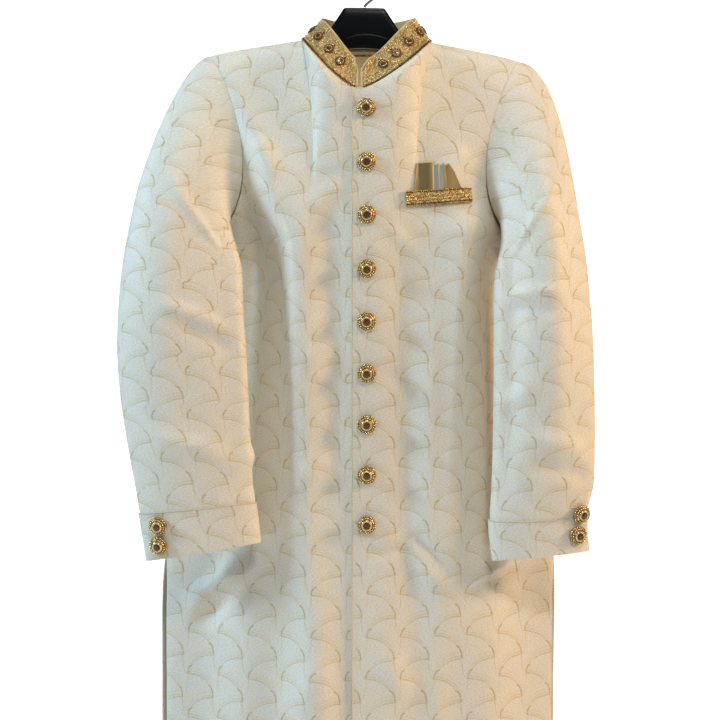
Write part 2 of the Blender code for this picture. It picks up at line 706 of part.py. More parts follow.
def armhole_turns(first_row, last_row, over_shoulder):
    """Turns round the armhole at the panels' own rows, over the shoulder or the underarm."""
    rows = np.array(HEAD_ROWS)
    if over_shoulder:
        behind = -rows[(rows > 0) & (rows <= first_row)][::-1]
        return math.pi * np.concatenate([behind, rows[rows <= last_row]])
    behind = 2 - rows[(rows >= last_row) & (rows < 1)][::-1]
    return math.pi * np.concatenate([rows[rows >= first_row], behind])


def sleeve_grid(side, upper):
    """Turns and rows of one sleeve part's points, from its back seam round the front (the
    top sleeve) or from its front seam round the underarm (the under sleeve)."""
    back, front = SLEEVE_SEAMS_AT_CUFF
    if upper:
        head = armhole_turns(SLEEVE_BACK_SEAM_ROW, SLEEVE_FRONT_SEAM_ROW, True)
        low = np.linspace(back, front, len(head))
    else:
        head = armhole_turns(SLEEVE_FRONT_SEAM_ROW, SLEEVE_BACK_SEAM_ROW, False)
        low = np.linspace(front, back + 2 * math.pi, len(head))
    top = cuff_top(side, low)
    arm = np.linspace(0, 1, SLEEVE_ARM_STEPS + 1)[1:, None]
    end = np.linspace(0, 1, CUFF_STEPS + 1)[1:, None]
    first = np.array(SLEEVE_HEAD_ROWS)[:, None] + np.zeros(len(head))
    rows = np.concatenate([first, blend(1.0, top, arm), blend(top, 2.0, end)])
    share = smooth(rows / top)
    return blend(head, low, share), rows


def sleeve_part(name, side, upper, material):
    angle, rows = sleeve_grid(side, upper)
    points = sleeve_point(side, angle, rows)
    normals = settled(points, sleeve_normals(side, angle, rows))
    for edge in (0, -1):
        normals[:, edge] = sleeve_normals(side, angle[:, edge], rows[:, edge])
    normals[0] = armhole_normals(side, angle[0])[1]
    outer = inset(points, left=2 * SEAM_GAP, right=2 * SEAM_GAP, top=SEAM_GAP)
    return wall(name, outer, outer - normals * CLOTH, material)


def sleeve_normals(side, angle, rows):
    """Outward normals of the sleeve, from the surface itself so that both parts agree."""
    step = 0.02
    across = sleeve_point(side, angle + step, rows) - sleeve_point(side, angle - step, rows)
    low = sleeve_point(side, angle, np.minimum(rows + step, 2.0))
    high = sleeve_point(side, angle, np.maximum(rows - step, 0.0))
    return unit(np.cross(across, low - high)) * side


def armhole_normals(side, turn):
    """The wall directions of the body and of the sleeve at the armhole. Where the cloth runs
    on over the seam they share the mitre; in the fold below the arm each keeps its own."""
    turn = np.asarray(turn, float)
    wrapped = (turn + math.pi) % (2 * math.pi) - math.pi
    row = np.abs(wrapped) / math.pi
    edge = np.full(row.shape, side)
    front = body_normals("front", edge, row)
    back = body_normals("back", edge, row)
    both = (row < 1e-6) | (row > 1 - 1e-6)
    body = np.where(both[..., None], unit(front + back), np.where((wrapped > 0)[..., None], front, back))
    sleeve = sleeve_normals(side, turn, np.zeros_like(turn))
    shared = smooth(((body * sleeve).sum(-1, keepdims=True) + 0.2) / 0.8)
    return unit(body + sleeve * shared), unit(sleeve + body * shared)


def cuff(name, side, material):
    """The band over the sleeve's end, on the same facets as the sleeve's two parts."""
    grids = [sleeve_grid(side, upper) for upper in (True, False)]
    start = len(SLEEVE_HEAD_ROWS) + SLEEVE_ARM_STEPS - 1
    angle, rows = (np.concatenate([g[i][start:, :-1] for g in grids], axis=1) for i in (0, 1))
    points = sleeve_point(side, angle, rows)
    normals = sleeve_normals(side, angle, rows)
    inner = points + normals * LAY_GAP
    return wall(name, inner + normals * CUFF_WALL, inner, material, closed=True)


NECK_STEPS = 160


def neck_chords(face, share):
    """The neckline as the panels' columns cut it: straight from column to column."""
    corners = np.array(NECK_COLUMNS) / NECK_COLUMN
    corners = np.concatenate([-corners[:0:-1], corners])
    return [np.interp(share, corners, line) for line in neckline(face, corners)]


@lru_cache(maxsize=None)
def neck_seam():
    """The neck seam from the collar's left end, round the back, to its right end: the shares
    of each point on front and back, the points, the seam's length so far, the band's rising
    direction, and the mitre between the band and the panels."""
    start = math.asin(COLLAR_END_SHARE)
    end = -start
    quarter = math.pi / 2
    left = np.sin(np.linspace(start, quarter, NECK_STEPS))
    back = np.sin(np.linspace(quarter, -quarter, 2 * NECK_STEPS))[1:]
    right = np.sin(np.linspace(-quarter, end, NECK_STEPS))[1:]
    faces = ("front", "back", "front")
    shares = (left, back, right)
    ring = np.concatenate([np.stack(neck_chords(f, s), axis=-1) for f, s in zip(faces, shares)])
    cloth = np.concatenate([body_normals(f, s * NECK_COLUMN, 0.0) for f, s in zip(faces, shares)])
    length = np.concatenate([[0], np.cumsum(np.linalg.norm(np.diff(ring, axis=0), axis=1))])
    tangent = unit(np.gradient(ring, axis=0))
    inward = np.array([NECK_SHIFT, (NECK_FRONT_Y + NECK_BACK_Y) / 2, 0.0]) - ring
    inward[:, 2] = 0
    inward = unit(inward)
    # the band leans in more at the sides than behind, and its front ends stand upright
    behind = smooth((ring[:, 1] + 0.01) / 0.05)[:, None]
    lean = blend(COLLAR_LEAN["middle"], COLLAR_LEAN["side"], np.abs(inward[:, :1]))
    lean = blend(lean, COLLAR_LEAN["back"], behind)
    rising = inward * lean + np.array([COLLAR_LEAN_ACROSS, 0.0, 0.88])
    from_end = np.minimum(length, length[-1] - length)[:, None]
    upright = 1 - smooth(from_end / 0.05)
    rising = blend(rising, np.array([0.0, 0.30, 0.90]), upright)
    rising = rising - tangent * (rising * tangent).sum(1, keepdims=True) * (1 - upright)
    rising = unit(evened(rising))
    outward = unit(np.cross(tangent, rising))
    outward = outward * np.sign(-(outward * inward).sum(1, keepdims=True))
    mitre = unit(evened(unit(cloth + outward)))
    return np.concatenate(shares), ring, length, rising, mitre


def evened(values, reach=20):
    """Running means over a line of directions."""
    kernel = np.ones(2 * reach + 1) / (2 * reach + 1)
    padded = np.pad(values, ((reach, reach), (0, 0)), mode="edge")
    return np.stack([np.convolve(padded[:, i], kernel, "valid") for i in range(3)], axis=1)


def neck_mitre(face, share):
    """The mitre direction at a share of the front or back neckline."""
    shares, _, _, _, mitre = neck_seam()
    turn = NECK_STEPS - 1
    if face == "back":
        part = slice(turn, len(shares) - turn)
        order = np.argsort(shares[part])
        known, values = shares[part][order], mitre[part][order]
    else:
        last = len(shares) - turn
        known = np.concatenate([shares[last:], shares[: turn + 1]])
        values = np.concatenate([mitre[last:], mitre[: turn + 1]])
        order = np.argsort(known, kind="stable")
        known, values = known[order], values[order]
    return unit(np.stack([np.interp(share, known, values[:, i]) for i in range(3)], axis=-1))


def collar_height(from_end):
    share = np.clip(from_end / COLLAR_CORNER, 0.0, 1.0)
    return blend(COLLAR_END_HEIGHT, COLLAR_HEIGHT, np.sqrt(1 - (1 - share) ** 2))


def motif_places(total):
    count = int((total - 2 * 0.046) / MOTIF_PITCH) + 1
    return total / 2 + (np.arange(count) - (count - 1) / 2) * MOTIF_PITCH


def collar_grid(stations, shares):
    """Outer points and outward normals of the band at seam lengths and height shares."""
    _, ring, length, rising, mitre = neck_seam()
    base, rise, low = (
        np.stack([np.interp(stations, length, line[:, i]) for i in range(3)], axis=1)
        for line in (ring, rising, mitre)
    )
    height = collar_height(np.minimum(stations, length[-1] - stations))
    up = SEAM_GAP * 2 + (height - SEAM_GAP * 2)[None, :] * np.asarray(shares)[:, None]
    points = base[None] + unit(rise)[None] * up[..., None]
    normals = -normals_of(points)
    normals[0] = unit(low)
    return points, normals


def collar(material):
    total = neck_seam()[2][-1]
    places = motif_places(total)
    between = (places[:, None] + MOTIF_PITCH * np.array(MOTIF_STEPS)).ravel()
    lead = np.array([0, 0.003, 0.008, 0.016, 0.026]) * places[0] / 0.0475
    stations = np.concatenate([lead, between, total - lead[::-1]])
    outer, normals = collar_grid(stations, COLLAR_ROWS)
    middle = (outer[2] + outer[3]) / 2
    rise = np.zeros(outer.shape[:2])
    for place in places:
        spot = np.array([np.interp(place, stations, middle[:, i]) for i in range(3)])
        away = np.linalg.norm(outer - spot, axis=-1) / MOTIF_RADIUS
        rise[away < 1] = MOTIF_RISE
    inner = outer - normals * COLLAR_WALL
    return wall("collar", outer + normals * rise[..., None], inner, material)


def button(name, point, normal, material):
    """A domed button, turned about the cloth's normal."""
    side = unit(np.cross(normal, [0.0, 0.0, 1.0]))
    up = np.cross(side, normal)
    vertices = []
    for radius, height in BUTTON_PROFILE:
        for k in range(BUTTON_SEGMENTS):
            turn = 2 * math.pi * k / BUTTON_SEGMENTS
            spoke = side * math.cos(turn) + up * math.sin(turn)
            vertices.append(point + normal * (BUTTON_GAP + height) + spoke * radius)
    rings = len(BUTTON_PROFILE)
    faces = grid_faces(rings, BUTTON_SEGMENTS, True, 0, False)
    vertices.append(point + normal * (BUTTON_GAP + BUTTON_CROWN))
    crown = len(vertices) - 1
    top = (rings - 1) * BUTTON_SEGMENTS
    for k in range(BUTTON_SEGMENTS):
        faces.append([top + k, top + (k + 1) % BUTTON_SEGMENTS, crown])
    faces.append(list(range(BUTTON_SEGMENTS))[::-1])
    return finish(name, np.array(vertices), faces, material)


def front_buttons(material):
    """The front's row of buttons, each seated on the highest cloth under it."""
    steps = np.arange(BUTTON_COUNT)
    heights = BUTTON_TOP_Z - steps * BUTTON_PITCH + steps**2 * BUTTON_PITCH_EASE
    points, normals = on_lap(np.full(BUTTON_COUNT, BUTTON_X), heights)
    turns = np.linspace(0, 2 * math.pi, 12, endpoint=False)
    for n, (point, normal) in enumerate(zip(points, normals)):
        radius = BUTTON_PROFILE[0][0]
        around = on_lap(BUTTON_X + radius * np.cos(turns), heights[n] + radius * np.sin(turns))[0]
        highest = max(0.0, float(((around - point) @ normal).max()))
        button(f"button_{n + 1}", point + normal * highest, normal, material)


def on_lap(x, z):
    """Points and normals on the lapped left front, straight from one of its rows to the next."""
    column, row = locate("front", x, z)
    rows = body_rows()
    i = np.clip(np.searchsorted(rows, row) - 1, 0, len(rows) - 2)
    ends = []
    for end in (rows[i], rows[i + 1]):
        points, normals = body_point("front", column, end), body_normals("front", column, end)
        ends.append(points + lap_shift(points, normals))
    share = ((row - rows[i]) / (rows[i + 1] - rows[i]))[..., None]
    return blend(*ends, share), body_normals("front", column, row)


def cuff_buttons(side, material):
    name = side_name(side)
    for n, (turn, height) in enumerate(CUFF_BUTTONS[name]):
        angle = np.radians([turn])
        row = row_above_end(side, angle, height)
        point = sleeve_point(side, angle, row)[0]
        normal = sleeve_normals(side, angle, row)[0]
        lift = LAY_GAP + CUFF_WALL
        button(f"cuff_button_{name}_{n + 1}", point + normal * lift, normal, material)


def on_front(points_2d, middle, lift):
    """Points laid on the left front, given across and up from a middle, and lifted off it."""
    points, normals = on_body("front", middle[0] + points_2d[..., 0], middle[1] + points_2d[..., 1])
    return points + normals * lift[..., None]


def turned_2d(points, angle):
    c, s = math.cos(angle), math.sin(angle)
    x, y = points[..., 0], points[..., 1]
    return np.stack([x * c - y * s, x * s + y * c], axis=-1)


def pocket_welt(material):
    """The stitched-on band, with a raised middle track and two raised borders."""
    u = np.linspace(-0.5, 0.5, 9) * WELT_SIZE[0]
    v = np.array([0.5, 0.32, 0.0, -0.32, -0.5]) * WELT_SIZE[1]
    raised = np.array([0.0, 0.0006, 0.0004, 0.0006, 0.0])
    flat = turned_2d(np.stack(np.meshgrid(u, v), axis=-1), WELT_SLOPE)
    lift = np.full(flat.shape[:2], WELT_GAP)
    inner = on_front(flat, WELT_MIDDLE, lift)
    outer = on_front(flat, WELT_MIDDLE, lift + WELT_WALL + raised[:, None])
    return wall("pocket_welt", outer, inner, material)


def pocket_square(material):
    """The folded satin square: a flat leaf, then three narrow pleats that lean away."""
    left = SQUARE_LEFT_X
    # across at the base, across at the top, height of the top edge, and how far the fold stands
    folds = (
        (left, left + 0.0035, 1.00, 0.0000),
        (left + 0.013, left + 0.0145, 1.00, 0.0010),
        (left + 0.0265, left + 0.0250, 0.99, 0.0018),
        (left + 0.0290, left + 0.0290, 0.88, 0.0004),
        (left + 0.0340, left + 0.0335, 0.93, 0.0018),
        (left + 0.0375, left + 0.0365, 0.86, 0.0004),
        (left + 0.0430, left + 0.0410, 0.93, 0.0018),
        (left + 0.0470, left + 0.0440, 0.85, 0.0004),
        (left + 0.0540, left + 0.0480, 0.92, 0.0016),
        (left + 0.0655, left + 0.0560, 0.62, 0.0006),
    )
    base_up = WELT_SIZE[1] / 2 + 0.0006
    shares = np.array([1.0, 0.66, 0.33, 0.0])
    flat = np.zeros((len(shares), len(folds), 2))
    stand = np.zeros(flat.shape[:2])
    for j, (low, high, top, out) in enumerate(folds):
        slope = math.tan(WELT_SLOPE) * low
        flat[:, j, 0] = low + (high - low) * shares
        flat[:, j, 1] = base_up + slope + shares * (SQUARE_TOP * top - base_up * 0.25)
        stand[:, j] = out
    lift = PATCH_GAP + stand
    inner = on_front(flat, WELT_MIDDLE, lift)
    outer = on_front(flat, WELT_MIDDLE, lift + SQUARE_WALL)
    return wall("pocket_square", outer, inner, material)


def neck_facing(material):
    """The satin yoke inside the back neck."""
    columns = np.array(NECK_COLUMNS[1:-1])
    columns = np.concatenate([-columns[::-1], [0.0], columns])
    rows = np.array(HEAD_ROWS[1:FACING_ROW_COUNT])
    points = body_point("back", columns[None, :], rows[:, None])
    normals = body_normals("back", columns[None, :], rows[:, None])
    outer = points - normals * (CLOTH + PATCH_GAP)
    return wall("neck_facing", outer, outer - normals * FACING_WALL, material)


def neck_label(material):
    """A bare woven patch on the facing."""
    width, height = LABEL_SIZE
    x = LABEL_MIDDLE_X + np.linspace(-0.5, 0.5, 5) * width
    z = NAPE_Z - LABEL_TOP_DROP - np.array([0.0, 0.5, 1.0]) * height
    columns, rows = locate("back", *np.meshgrid(x, z))
    points = body_point("back", columns, rows)
    normals = body_normals("back", columns, rows)
    outer = points - normals * (CLOTH + FACING_WALL + 2 * PATCH_GAP)
    return wall("neck_label", outer, outer - normals * FACING_WALL, material)


def hanger_body(material):
    """A moulded hanger: rounded sections strung from one shoulder to the other."""
    half = [dict(zip(HANGER_COLUMNS, row)) for row in HANGER_SECTIONS]
    sections = [(-1, row) for row in half[:0:-1]] + [(1, row) for row in half]
    turns = np.linspace(0, 2 * math.pi, 12, endpoint=False) + math.pi / 12
    rings = []
    for side, row in sections:
        middle = (row["top"] + row["bottom"]) / 2
        tall = (row["top"] - row["bottom"]) / 2
        # a rounded box near the neck, rounder under the shoulders
        power = 0.45 if row["x"] < 0.06 else 0.85
        y = row["half_depth"] * np.sign(np.cos(turns)) * np.abs(np.cos(turns)) ** power
        z = middle + tall * np.sign(np.sin(turns)) * np.abs(np.sin(turns)) ** power
        rings.append(np.stack([np.full(len(turns), side * row["x"]), y, z], axis=-1))
    rings = np.array(rings)
    count, around = rings.shape[:2]
    faces = grid_faces(count, around, True, 0, False)
    faces.append(list(range(around))[::-1])
    faces.append([(count - 1) * around + k for k in range(around)])
    return finish("hanger_body", rings.reshape(-1, 3), faces, material)


def hanger_hook(material):
    """A wire hook: a stem, a swing to one side, and the crook over the rail."""
    radius = HOOK_INNER + HOOK_WIRE
    centre_z = -HOOK_INNER
    stem = -HANGER_SECTIONS[0][1]
    guide = np.array(
        [(0, -stem + LAY_GAP), (0.0010, -0.0480), (0.0058, -0.0430), (0.0140, -0.0365), (0.0202, -0.0285)]
    )
    first = math.atan2(guide[-1][1] - centre_z, guide[-1][0]) + math.radians(27)
    turns = np.linspace(first, HOOK_TIP_ANGLE, 18)
    crook = np.stack([radius * np.cos(turns), centre_z + radius * np.sin(turns)], axis=1)
    lead = curve_through(np.linspace(0, 5, 9)[:-1], np.arange(6.0), np.vstack([guide, crook[:1]]))
    line = np.vstack([lead, crook])
    line = np.stack([line[:, 0], np.zeros(len(line)), line[:, 1]], axis=1)
    curve = bpy.data.curves.new("hanger_hook", "CURVE")
    curve.dimensions = "3D"
    curve.bevel_depth = HOOK_WIRE
    curve.bevel_resolution = 1
    curve.use_fill_caps = True
    spline = curve.splines.new("POLY")
    spline.points.add(len(line) - 1)
    for target, point in zip(spline.points, line):
        target.co = (*point, 1.0)
    curve.materials.append(material)
    piece = bpy.data.objects.new("hanger_hook", curve)
    bpy.context.scene.collection.objects.link(piece)
    return piece


def main():
    for old in list(bpy.data.objects):
        bpy.data.objects.remove(old, do_unlink=True)
    brocade = colour("ivory brocade", (0.80, 0.76, 0.66), 0.62)
    embroidery = colour("gold embroidery", (0.55, 0.36, 0.13), 0.42, 0.35)
    satin = colour("gold satin", (0.50, 0.38, 0.20), 0.35)
    button_gold = colour("bead and stone button", (0.52, 0.33, 0.13), 0.38, 0.4)
    plastic = colour("black moulded plastic", (0.012, 0.012, 0.013), 0.28)
    steel = colour("plated steel wire", (0.70, 0.70, 0.72), 0.22, 1.0)

    body_panel("front_left", "front", 1.0, PLACKET_EDGE_X, brocade)
    body_panel("front_right", "front", -1.0, UNDERLAP_X, brocade)
    body_panel("back_left", "back", 1.0, 0.0, brocade)
    body_panel("back_right", "back", -1.0, 0.0, brocade)
    for side in (1.0, -1.0):
        name = side_name(side)
        sleeve_part(f"top_sleeve_{name}", side, True, brocade)
        sleeve_part(f"under_sleeve_{name}", side, False, brocade)
        cuff(f"cuff_{name}", side, brocade)
        cuff_buttons(side, button_gold)
    collar(embroidery)
    front_buttons(button_gold)
    pocket_welt(embroidery)
    pocket_square(satin)
    neck_facing(satin)
    neck_label(satin)
    hanger_body(plastic)
    hanger_hook(steel)


main()
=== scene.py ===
# %% [markdown]
# This lesson dresses a sherwani coat that hangs on a suit hanger.

import math
from functools import lru_cache

import bpy
import numpy as np
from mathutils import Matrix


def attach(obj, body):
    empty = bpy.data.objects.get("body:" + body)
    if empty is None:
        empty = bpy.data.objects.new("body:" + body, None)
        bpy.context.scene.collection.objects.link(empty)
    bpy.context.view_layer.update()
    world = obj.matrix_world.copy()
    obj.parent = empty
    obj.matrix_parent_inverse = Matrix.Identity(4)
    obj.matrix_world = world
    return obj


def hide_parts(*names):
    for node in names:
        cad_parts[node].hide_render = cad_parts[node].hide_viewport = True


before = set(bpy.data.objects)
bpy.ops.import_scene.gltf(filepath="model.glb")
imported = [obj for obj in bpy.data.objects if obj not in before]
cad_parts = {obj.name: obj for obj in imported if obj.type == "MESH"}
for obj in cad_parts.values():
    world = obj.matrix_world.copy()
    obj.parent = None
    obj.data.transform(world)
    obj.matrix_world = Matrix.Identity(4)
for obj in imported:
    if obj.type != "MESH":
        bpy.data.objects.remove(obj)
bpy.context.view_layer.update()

# %% [markdown]
# Colours are picked as sRGB hex codes, but Blender's shaders work in linear light, so one
# function turns a code into linear numbers. A second small function adds any shader or
# geometry node with its settings, its values and its links.

# %% Colour and node helpers
def linear(code):
    """An sRGB hex colour as linear RGBA."""
    parts = [int(code[i : i + 2], 16) / 255 for i in (1, 3, 5)]
    return (*(c / 12.92 if c <= 0.04045 else ((c + 0.055) / 1.055) ** 2.4 for c in parts), 1.0)


def add(tree, kind, inputs=None, **settings):
    """A new node in the tree, with its settings, and with values or links on its inputs."""
    node = tree.nodes.new(kind)
    for key, value in settings.items():
        setattr(node, key, value)
    for key, value in (inputs or {}).items():
        if isinstance(value, bpy.types.NodeSocket):
            tree.links.new(value, node.inputs[key])
        else:
            node.inputs[key].default_value = value
    return node


def new_material(name, colour, roughness, **sockets):
    """A material whose shader's own sockets hold the values that are even all over."""
    material = bpy.data.materials.new(name)
    material.use_nodes = True
    shader = material.node_tree.nodes["Principled BSDF"]
    shader.inputs["Base Color"].default_value = linear(colour)
    shader.inputs["Roughness"].default_value = roughness
    for key, value in sockets.items():
        shader.inputs[key.replace("_", " ")].default_value = value
    return material, material.node_tree, shader


print("ivory in linear light:", [round(c, 3) for c in linear("#E6DFCF")[:3]])

# %% [markdown]
# The cloth is an ivory jacquard. Its figure is woven in: thin tan lines that leave each
# knot as a short hook, a flat arc to the left and a flat arc to the right, so that the arcs
# close into a scale pattern. An image could hold it, but a drawn figure stays sharp at any
# distance. Each line is a quarter of an ellipse in one cell of the repeat, and the
# distance to it gives both the colour and the relief.

# %% The jacquard's repeat
REPEAT = (0.0475, 0.0586)
# Second knot of each repeat, from the first
KNOT = (0.178 * REPEAT[0], -0.455 * REPEAT[1])
ARC_COLUMNS = ("knot", "centre", "half_axes", "across", "up", "half_width", "strength", "lines")
ARCS = (
    (0, (0.0, -0.0267), (0.0390, 0.0267), -1, 1, 0.00105, 0.85, 3),
    (1, (0.0, -0.0319), (0.0390, 0.0319), 1, 1, 0.00105, 0.90, 3),
    (0, (-0.0080, 0.0), (0.0080, 0.0165), 1, 1, 0.00125, 0.95, 1),
    (1, (0.0065, 0.0), (0.0065, 0.0120), -1, 1, 0.00125, 0.95, 1),
    (0, (0.0085, 0.0), (0.0085, 0.0267), -1, -1, 0.00100, 0.62, 1),
    (1, (-0.0085, 0.0), (0.0085, 0.0319), 1, -1, 0.00090, 0.42, 1),
)


def maths(tree, operation, a, b=0.0, c=0.0):
    """One Math node's result."""
    return add(tree, "ShaderNodeMath", {0: a, 1: b, 2: c}, operation=operation).outputs[0]


def clamped(tree, value):
    """The value kept between 0 and 1."""
    return add(tree, "ShaderNodeClamp", {0: value}).outputs[0]


def ranged(tree, value, low, high, first, last, **settings):
    """The value, which runs from low to high, made to run from first to last."""
    inputs = {0: value, 1: low, 2: high, 3: first, 4: last}
    return add(tree, "ShaderNodeMapRange", inputs, **settings).outputs[0]


def arc_line(tree, u, v, row):
    """How strongly one woven line shows: 1 on the line and 0 off it."""
    arc = dict(zip(ARC_COLUMNS, row))
    start = KNOT if arc["knot"] else (0.0, 0.0)
    spots = []
    for k, place in enumerate((u, v)):
        half = arc["half_axes"][k]
        sense = arc["across"] if k == 0 else arc["up"]
        low = -0.006 if sense > 0 else -half - 0.006
        # the line's own cell of the repeat, measured from the ellipse's centre
        middle = start[k] + arc["centre"][k]
        spots.append(maths(tree, "WRAP", maths(tree, "SUBTRACT", place, middle), low + REPEAT[k], low))
    x, y = spots
    a, b = arc["half_axes"]
    ring = [maths(tree, "DIVIDE", x, a), maths(tree, "DIVIDE", y, b)]
    steep = [maths(tree, "DIVIDE", x, a * a), maths(tree, "DIVIDE", y, b * b)]
    radius, slope = (
        maths(tree, "SQRT", maths(tree, "MULTIPLY_ADD", p, p, maths(tree, "MULTIPLY", q, q)))
        for p, q in (ring, steep)
    )
    away = maths(tree, "DIVIDE", maths(tree, "SUBTRACT", radius, 1.0), maths(tree, "MAXIMUM", slope, 1.0))
    inside = []
    for place, sense in ((x, arc["across"]), (y, arc["up"])):
        # soft ends, a little past the quarter's own ends
        reach = maths(tree, "MULTIPLY", place, sense / 0.0015)
        inside.append(maths(tree, "ADD", reach, 0.6))
    quarter = clamped(tree, maths(tree, "MINIMUM", *inside))
    total = None
    for n in range(arc["lines"]):
        # echoes of the line beside it, each fainter
        shifted = maths(tree, "ABSOLUTE", maths(tree, "SUBTRACT", away, n * 0.0031))
        width = arc["half_width"]
        span = (width * 0.35, width * 1.5, 1.0, 0.0)
        soft = ranged(tree, shifted, *span, interpolation_type="SMOOTHSTEP")
        shown = maths(tree, "MULTIPLY", soft, arc["strength"] * (1.0 if n == 0 else 0.60 / n))
        total = shown if total is None else maths(tree, "MAXIMUM", total, shown)
    if max(arc["half_axes"]) > 0.02:
        # the long arcs fade away from their knot
        far = maths(tree, "ABSOLUTE", y if arc["centre"][0] else x)
        fade = maths(tree, "SUBTRACT", 1.15, maths(tree, "DIVIDE", far, max(arc["half_axes"]) * 1.25))
        total = maths(tree, "MULTIPLY", total, clamped(tree, fade))
    return maths(tree, "MULTIPLY", total, quarter)


print("repeat", REPEAT, "with", len(ARCS), "lines")

# %% [markdown]
# Between the lines the ground is puckered: fine level crinkles about a millimetre high,
# as padded weaves have. A stretched noise gives them, and both the crinkles and
# the sunk lines go to one Bump node. The same noise also darkens the crinkles' low parts
# in the colour, as painted shade. The cloth's threads are silk-like, so a little sheen
# lifts the folds' edges.

# %% The ivory jacquard
def noise(tree, place, scale, detail):
    """Soft random values over a map or an object."""
    inputs = {"Vector": place, "Scale": scale, "Detail": detail}
    return add(tree, "ShaderNodeTexNoise", inputs).outputs[0]


def stretched(tree, place, across, up):
    """A map on another scale across and up, for ribs and crinkles."""
    inputs = {"Vector": place.outputs[0], "Scale": (across, up, 1.0)}
    return add(tree, "ShaderNodeMapping", inputs).outputs[0]


def mixed(tree, share, first, second, **settings):
    """Two colours mixed by a share."""
    inputs = {0: share, 6: first, 7: second}
    return add(tree, "ShaderNodeMix", inputs, data_type="RGBA", **settings).outputs[2]


def relief(tree, shader, height, distance, strength):
    """Gives the surface a fine relief from a height."""
    inputs = {"Height": height, "Distance": distance, "Strength": strength}
    bump = add(tree, "ShaderNodeBump", inputs)
    tree.links.new(bump.outputs[0], shader.inputs["Normal"])


def jacquard(name, ground, warm, thread, knot):
    material, tree, shader = new_material(
        name, ground, 0.52, Sheen_Weight=0.22, Sheen_Roughness=0.35, Specular_IOR_Level=0.38
    )
    place = add(tree, "ShaderNodeUVMap", uv_map="cloth")
    # a slight wobble, as hanging cloth never keeps its repeat quite straight
    wobble = add(tree, "ShaderNodeTexNoise", {"Vector": place.outputs[0], "Scale": 11.0, "Detail": 0.5})
    moved = add(
        tree,
        "ShaderNodeVectorMath",
        {0: wobble.outputs["Color"], 1: (0.009, 0.009, 0.0), 2: place.outputs[0]},
        operation="MULTIPLY_ADD",
    )
    split = add(tree, "ShaderNodeSeparateXYZ", {0: moved.outputs[0]})
    u, v = split.outputs[0], split.outputs[1]
    shown = [arc_line(tree, u, v, row) for row in ARCS]
    total = shown[0]
    for line in shown[1:]:
        total = maths(tree, "MAXIMUM", total, line)
    hooks = maths(tree, "MAXIMUM", shown[2], shown[3])
    # the weave breaks the lines up a little
    uneven = ranged(tree, noise(tree, place.outputs[0], 260.0, 2.0), 0.30, 0.62, 0.45, 1.0)
    total = maths(tree, "MULTIPLY", total, uneven)
    crinkle = noise(tree, stretched(tree, place, 330.0, 950.0), 1.0, 3.0)
    cloud = noise(tree, place.outputs[0], 24.0, 2.0)
    tinted = mixed(tree, cloud, linear(ground), linear(warm))
    # painted shade: the crinkles' low parts are darkened in the colour as well as sunk in the bump
    shade = ranged(tree, crinkle, 0.35, 0.65, 0.82, 1.04)
    ground_with_painted_shade = mixed(tree, 1.0, tinted, shade, blend_type="MULTIPLY")
    threads = mixed(tree, hooks, linear(thread), linear(knot))
    colour = mixed(tree, maths(tree, "MULTIPLY", total, 0.85), ground_with_painted_shade, threads)
    tree.links.new(colour, shader.inputs["Base Color"])
    pucker = maths(tree, "MULTIPLY", crinkle, 0.55)
    relief(tree, shader, maths(tree, "MULTIPLY_ADD", total, -0.9, pucker), 0.0008, 0.85)
    return material


def lining_cloth():
    """Ivory lining satin: smooth, with a faint level rib."""
    material, tree, shader = new_material("ivory lining satin", "#D9CFBB", 0.36, Sheen_Weight=0.1)
    place = add(tree, "ShaderNodeUVMap", uv_map="cloth")
    weave = noise(tree, stretched(tree, place, 200.0, 1400.0), 1.0, 1.0)
    relief(tree, shader, weave, 0.0002, 0.5)
    return material


ivory_jacquard = jacquard("ivory matelasse jacquard", "#EBE7DC", "#F1E6CB", "#D2BB84", "#BFA56C")
lining = lining_cloth()
print("materials:", ivory_jacquard.name, "and", lining.name)

# %% [markdown]
# Cloth is easiest to dress when we know its surface as a function: give it a place on the
# panel, and it answers with a point in space. The solids were worked out this way, so the
# same sizes are repeated here. With the functions at hand we can ask for a much finer mesh
# of the same coat, and lay beads and buttons exactly on it.

# %% Sizes of the coat
CLOTH = 0.0020
SEAM_GAP = 0.00015
LAY_GAP = 0.0004
NECK_HALF = 0.0925
NECK_FRONT_Y = -0.072
NECK_BACK_Y = 0.055
NECK_POINT_Y = -0.004
NECK_PIT_Z = -0.1760
NECK_POINT_Z = -0.0990
NAPE_Z = -0.108
# The neck's middle lies a little to the wearer's left, and its pit a little to the right
NECK_SHIFT = 0.0030
NECK_PIT_X = -0.0075
NECKLINE_CURVE = 1.50
SHOULDER_HALF = 0.2200
SHOULDER_Z = -0.1235
SHOULDER_TIP_DROP = 0.003
SHOULDER_ROLL = 0.021
UNDERARM_HALF = 0.2250
UNDERARM_Y = 0.014
UNDERARM_Z = -0.3870
ARMHOLE_FRONT = 0.052
ARMHOLE_BACK = 0.050
ARMHOLE_FRONT_SCOOP = 0.052
ARMHOLE_BACK_SCOOP = 0.028

# Hem, slits and front closing
HEM_Z = -1.175
SLIT_TOP_Z = -0.800
SLIT_OPEN_Z = -0.880
# How far the open slit's edges move across and out; the left one opens only by a share
SLIT_SPREAD = {"front": (-0.0090, -0.0040), "back": (0.0015, 0.0020)}
SLIT_LEFT_SHARE = 0.35
PLACKET_EDGE_X = -0.0172
UNDERLAP_X = 0.0260
LAP_LIFT = 0.0028
LAP_FADE_X = (0.036, 0.068)
LAP_TOP_DROP = 0.0030

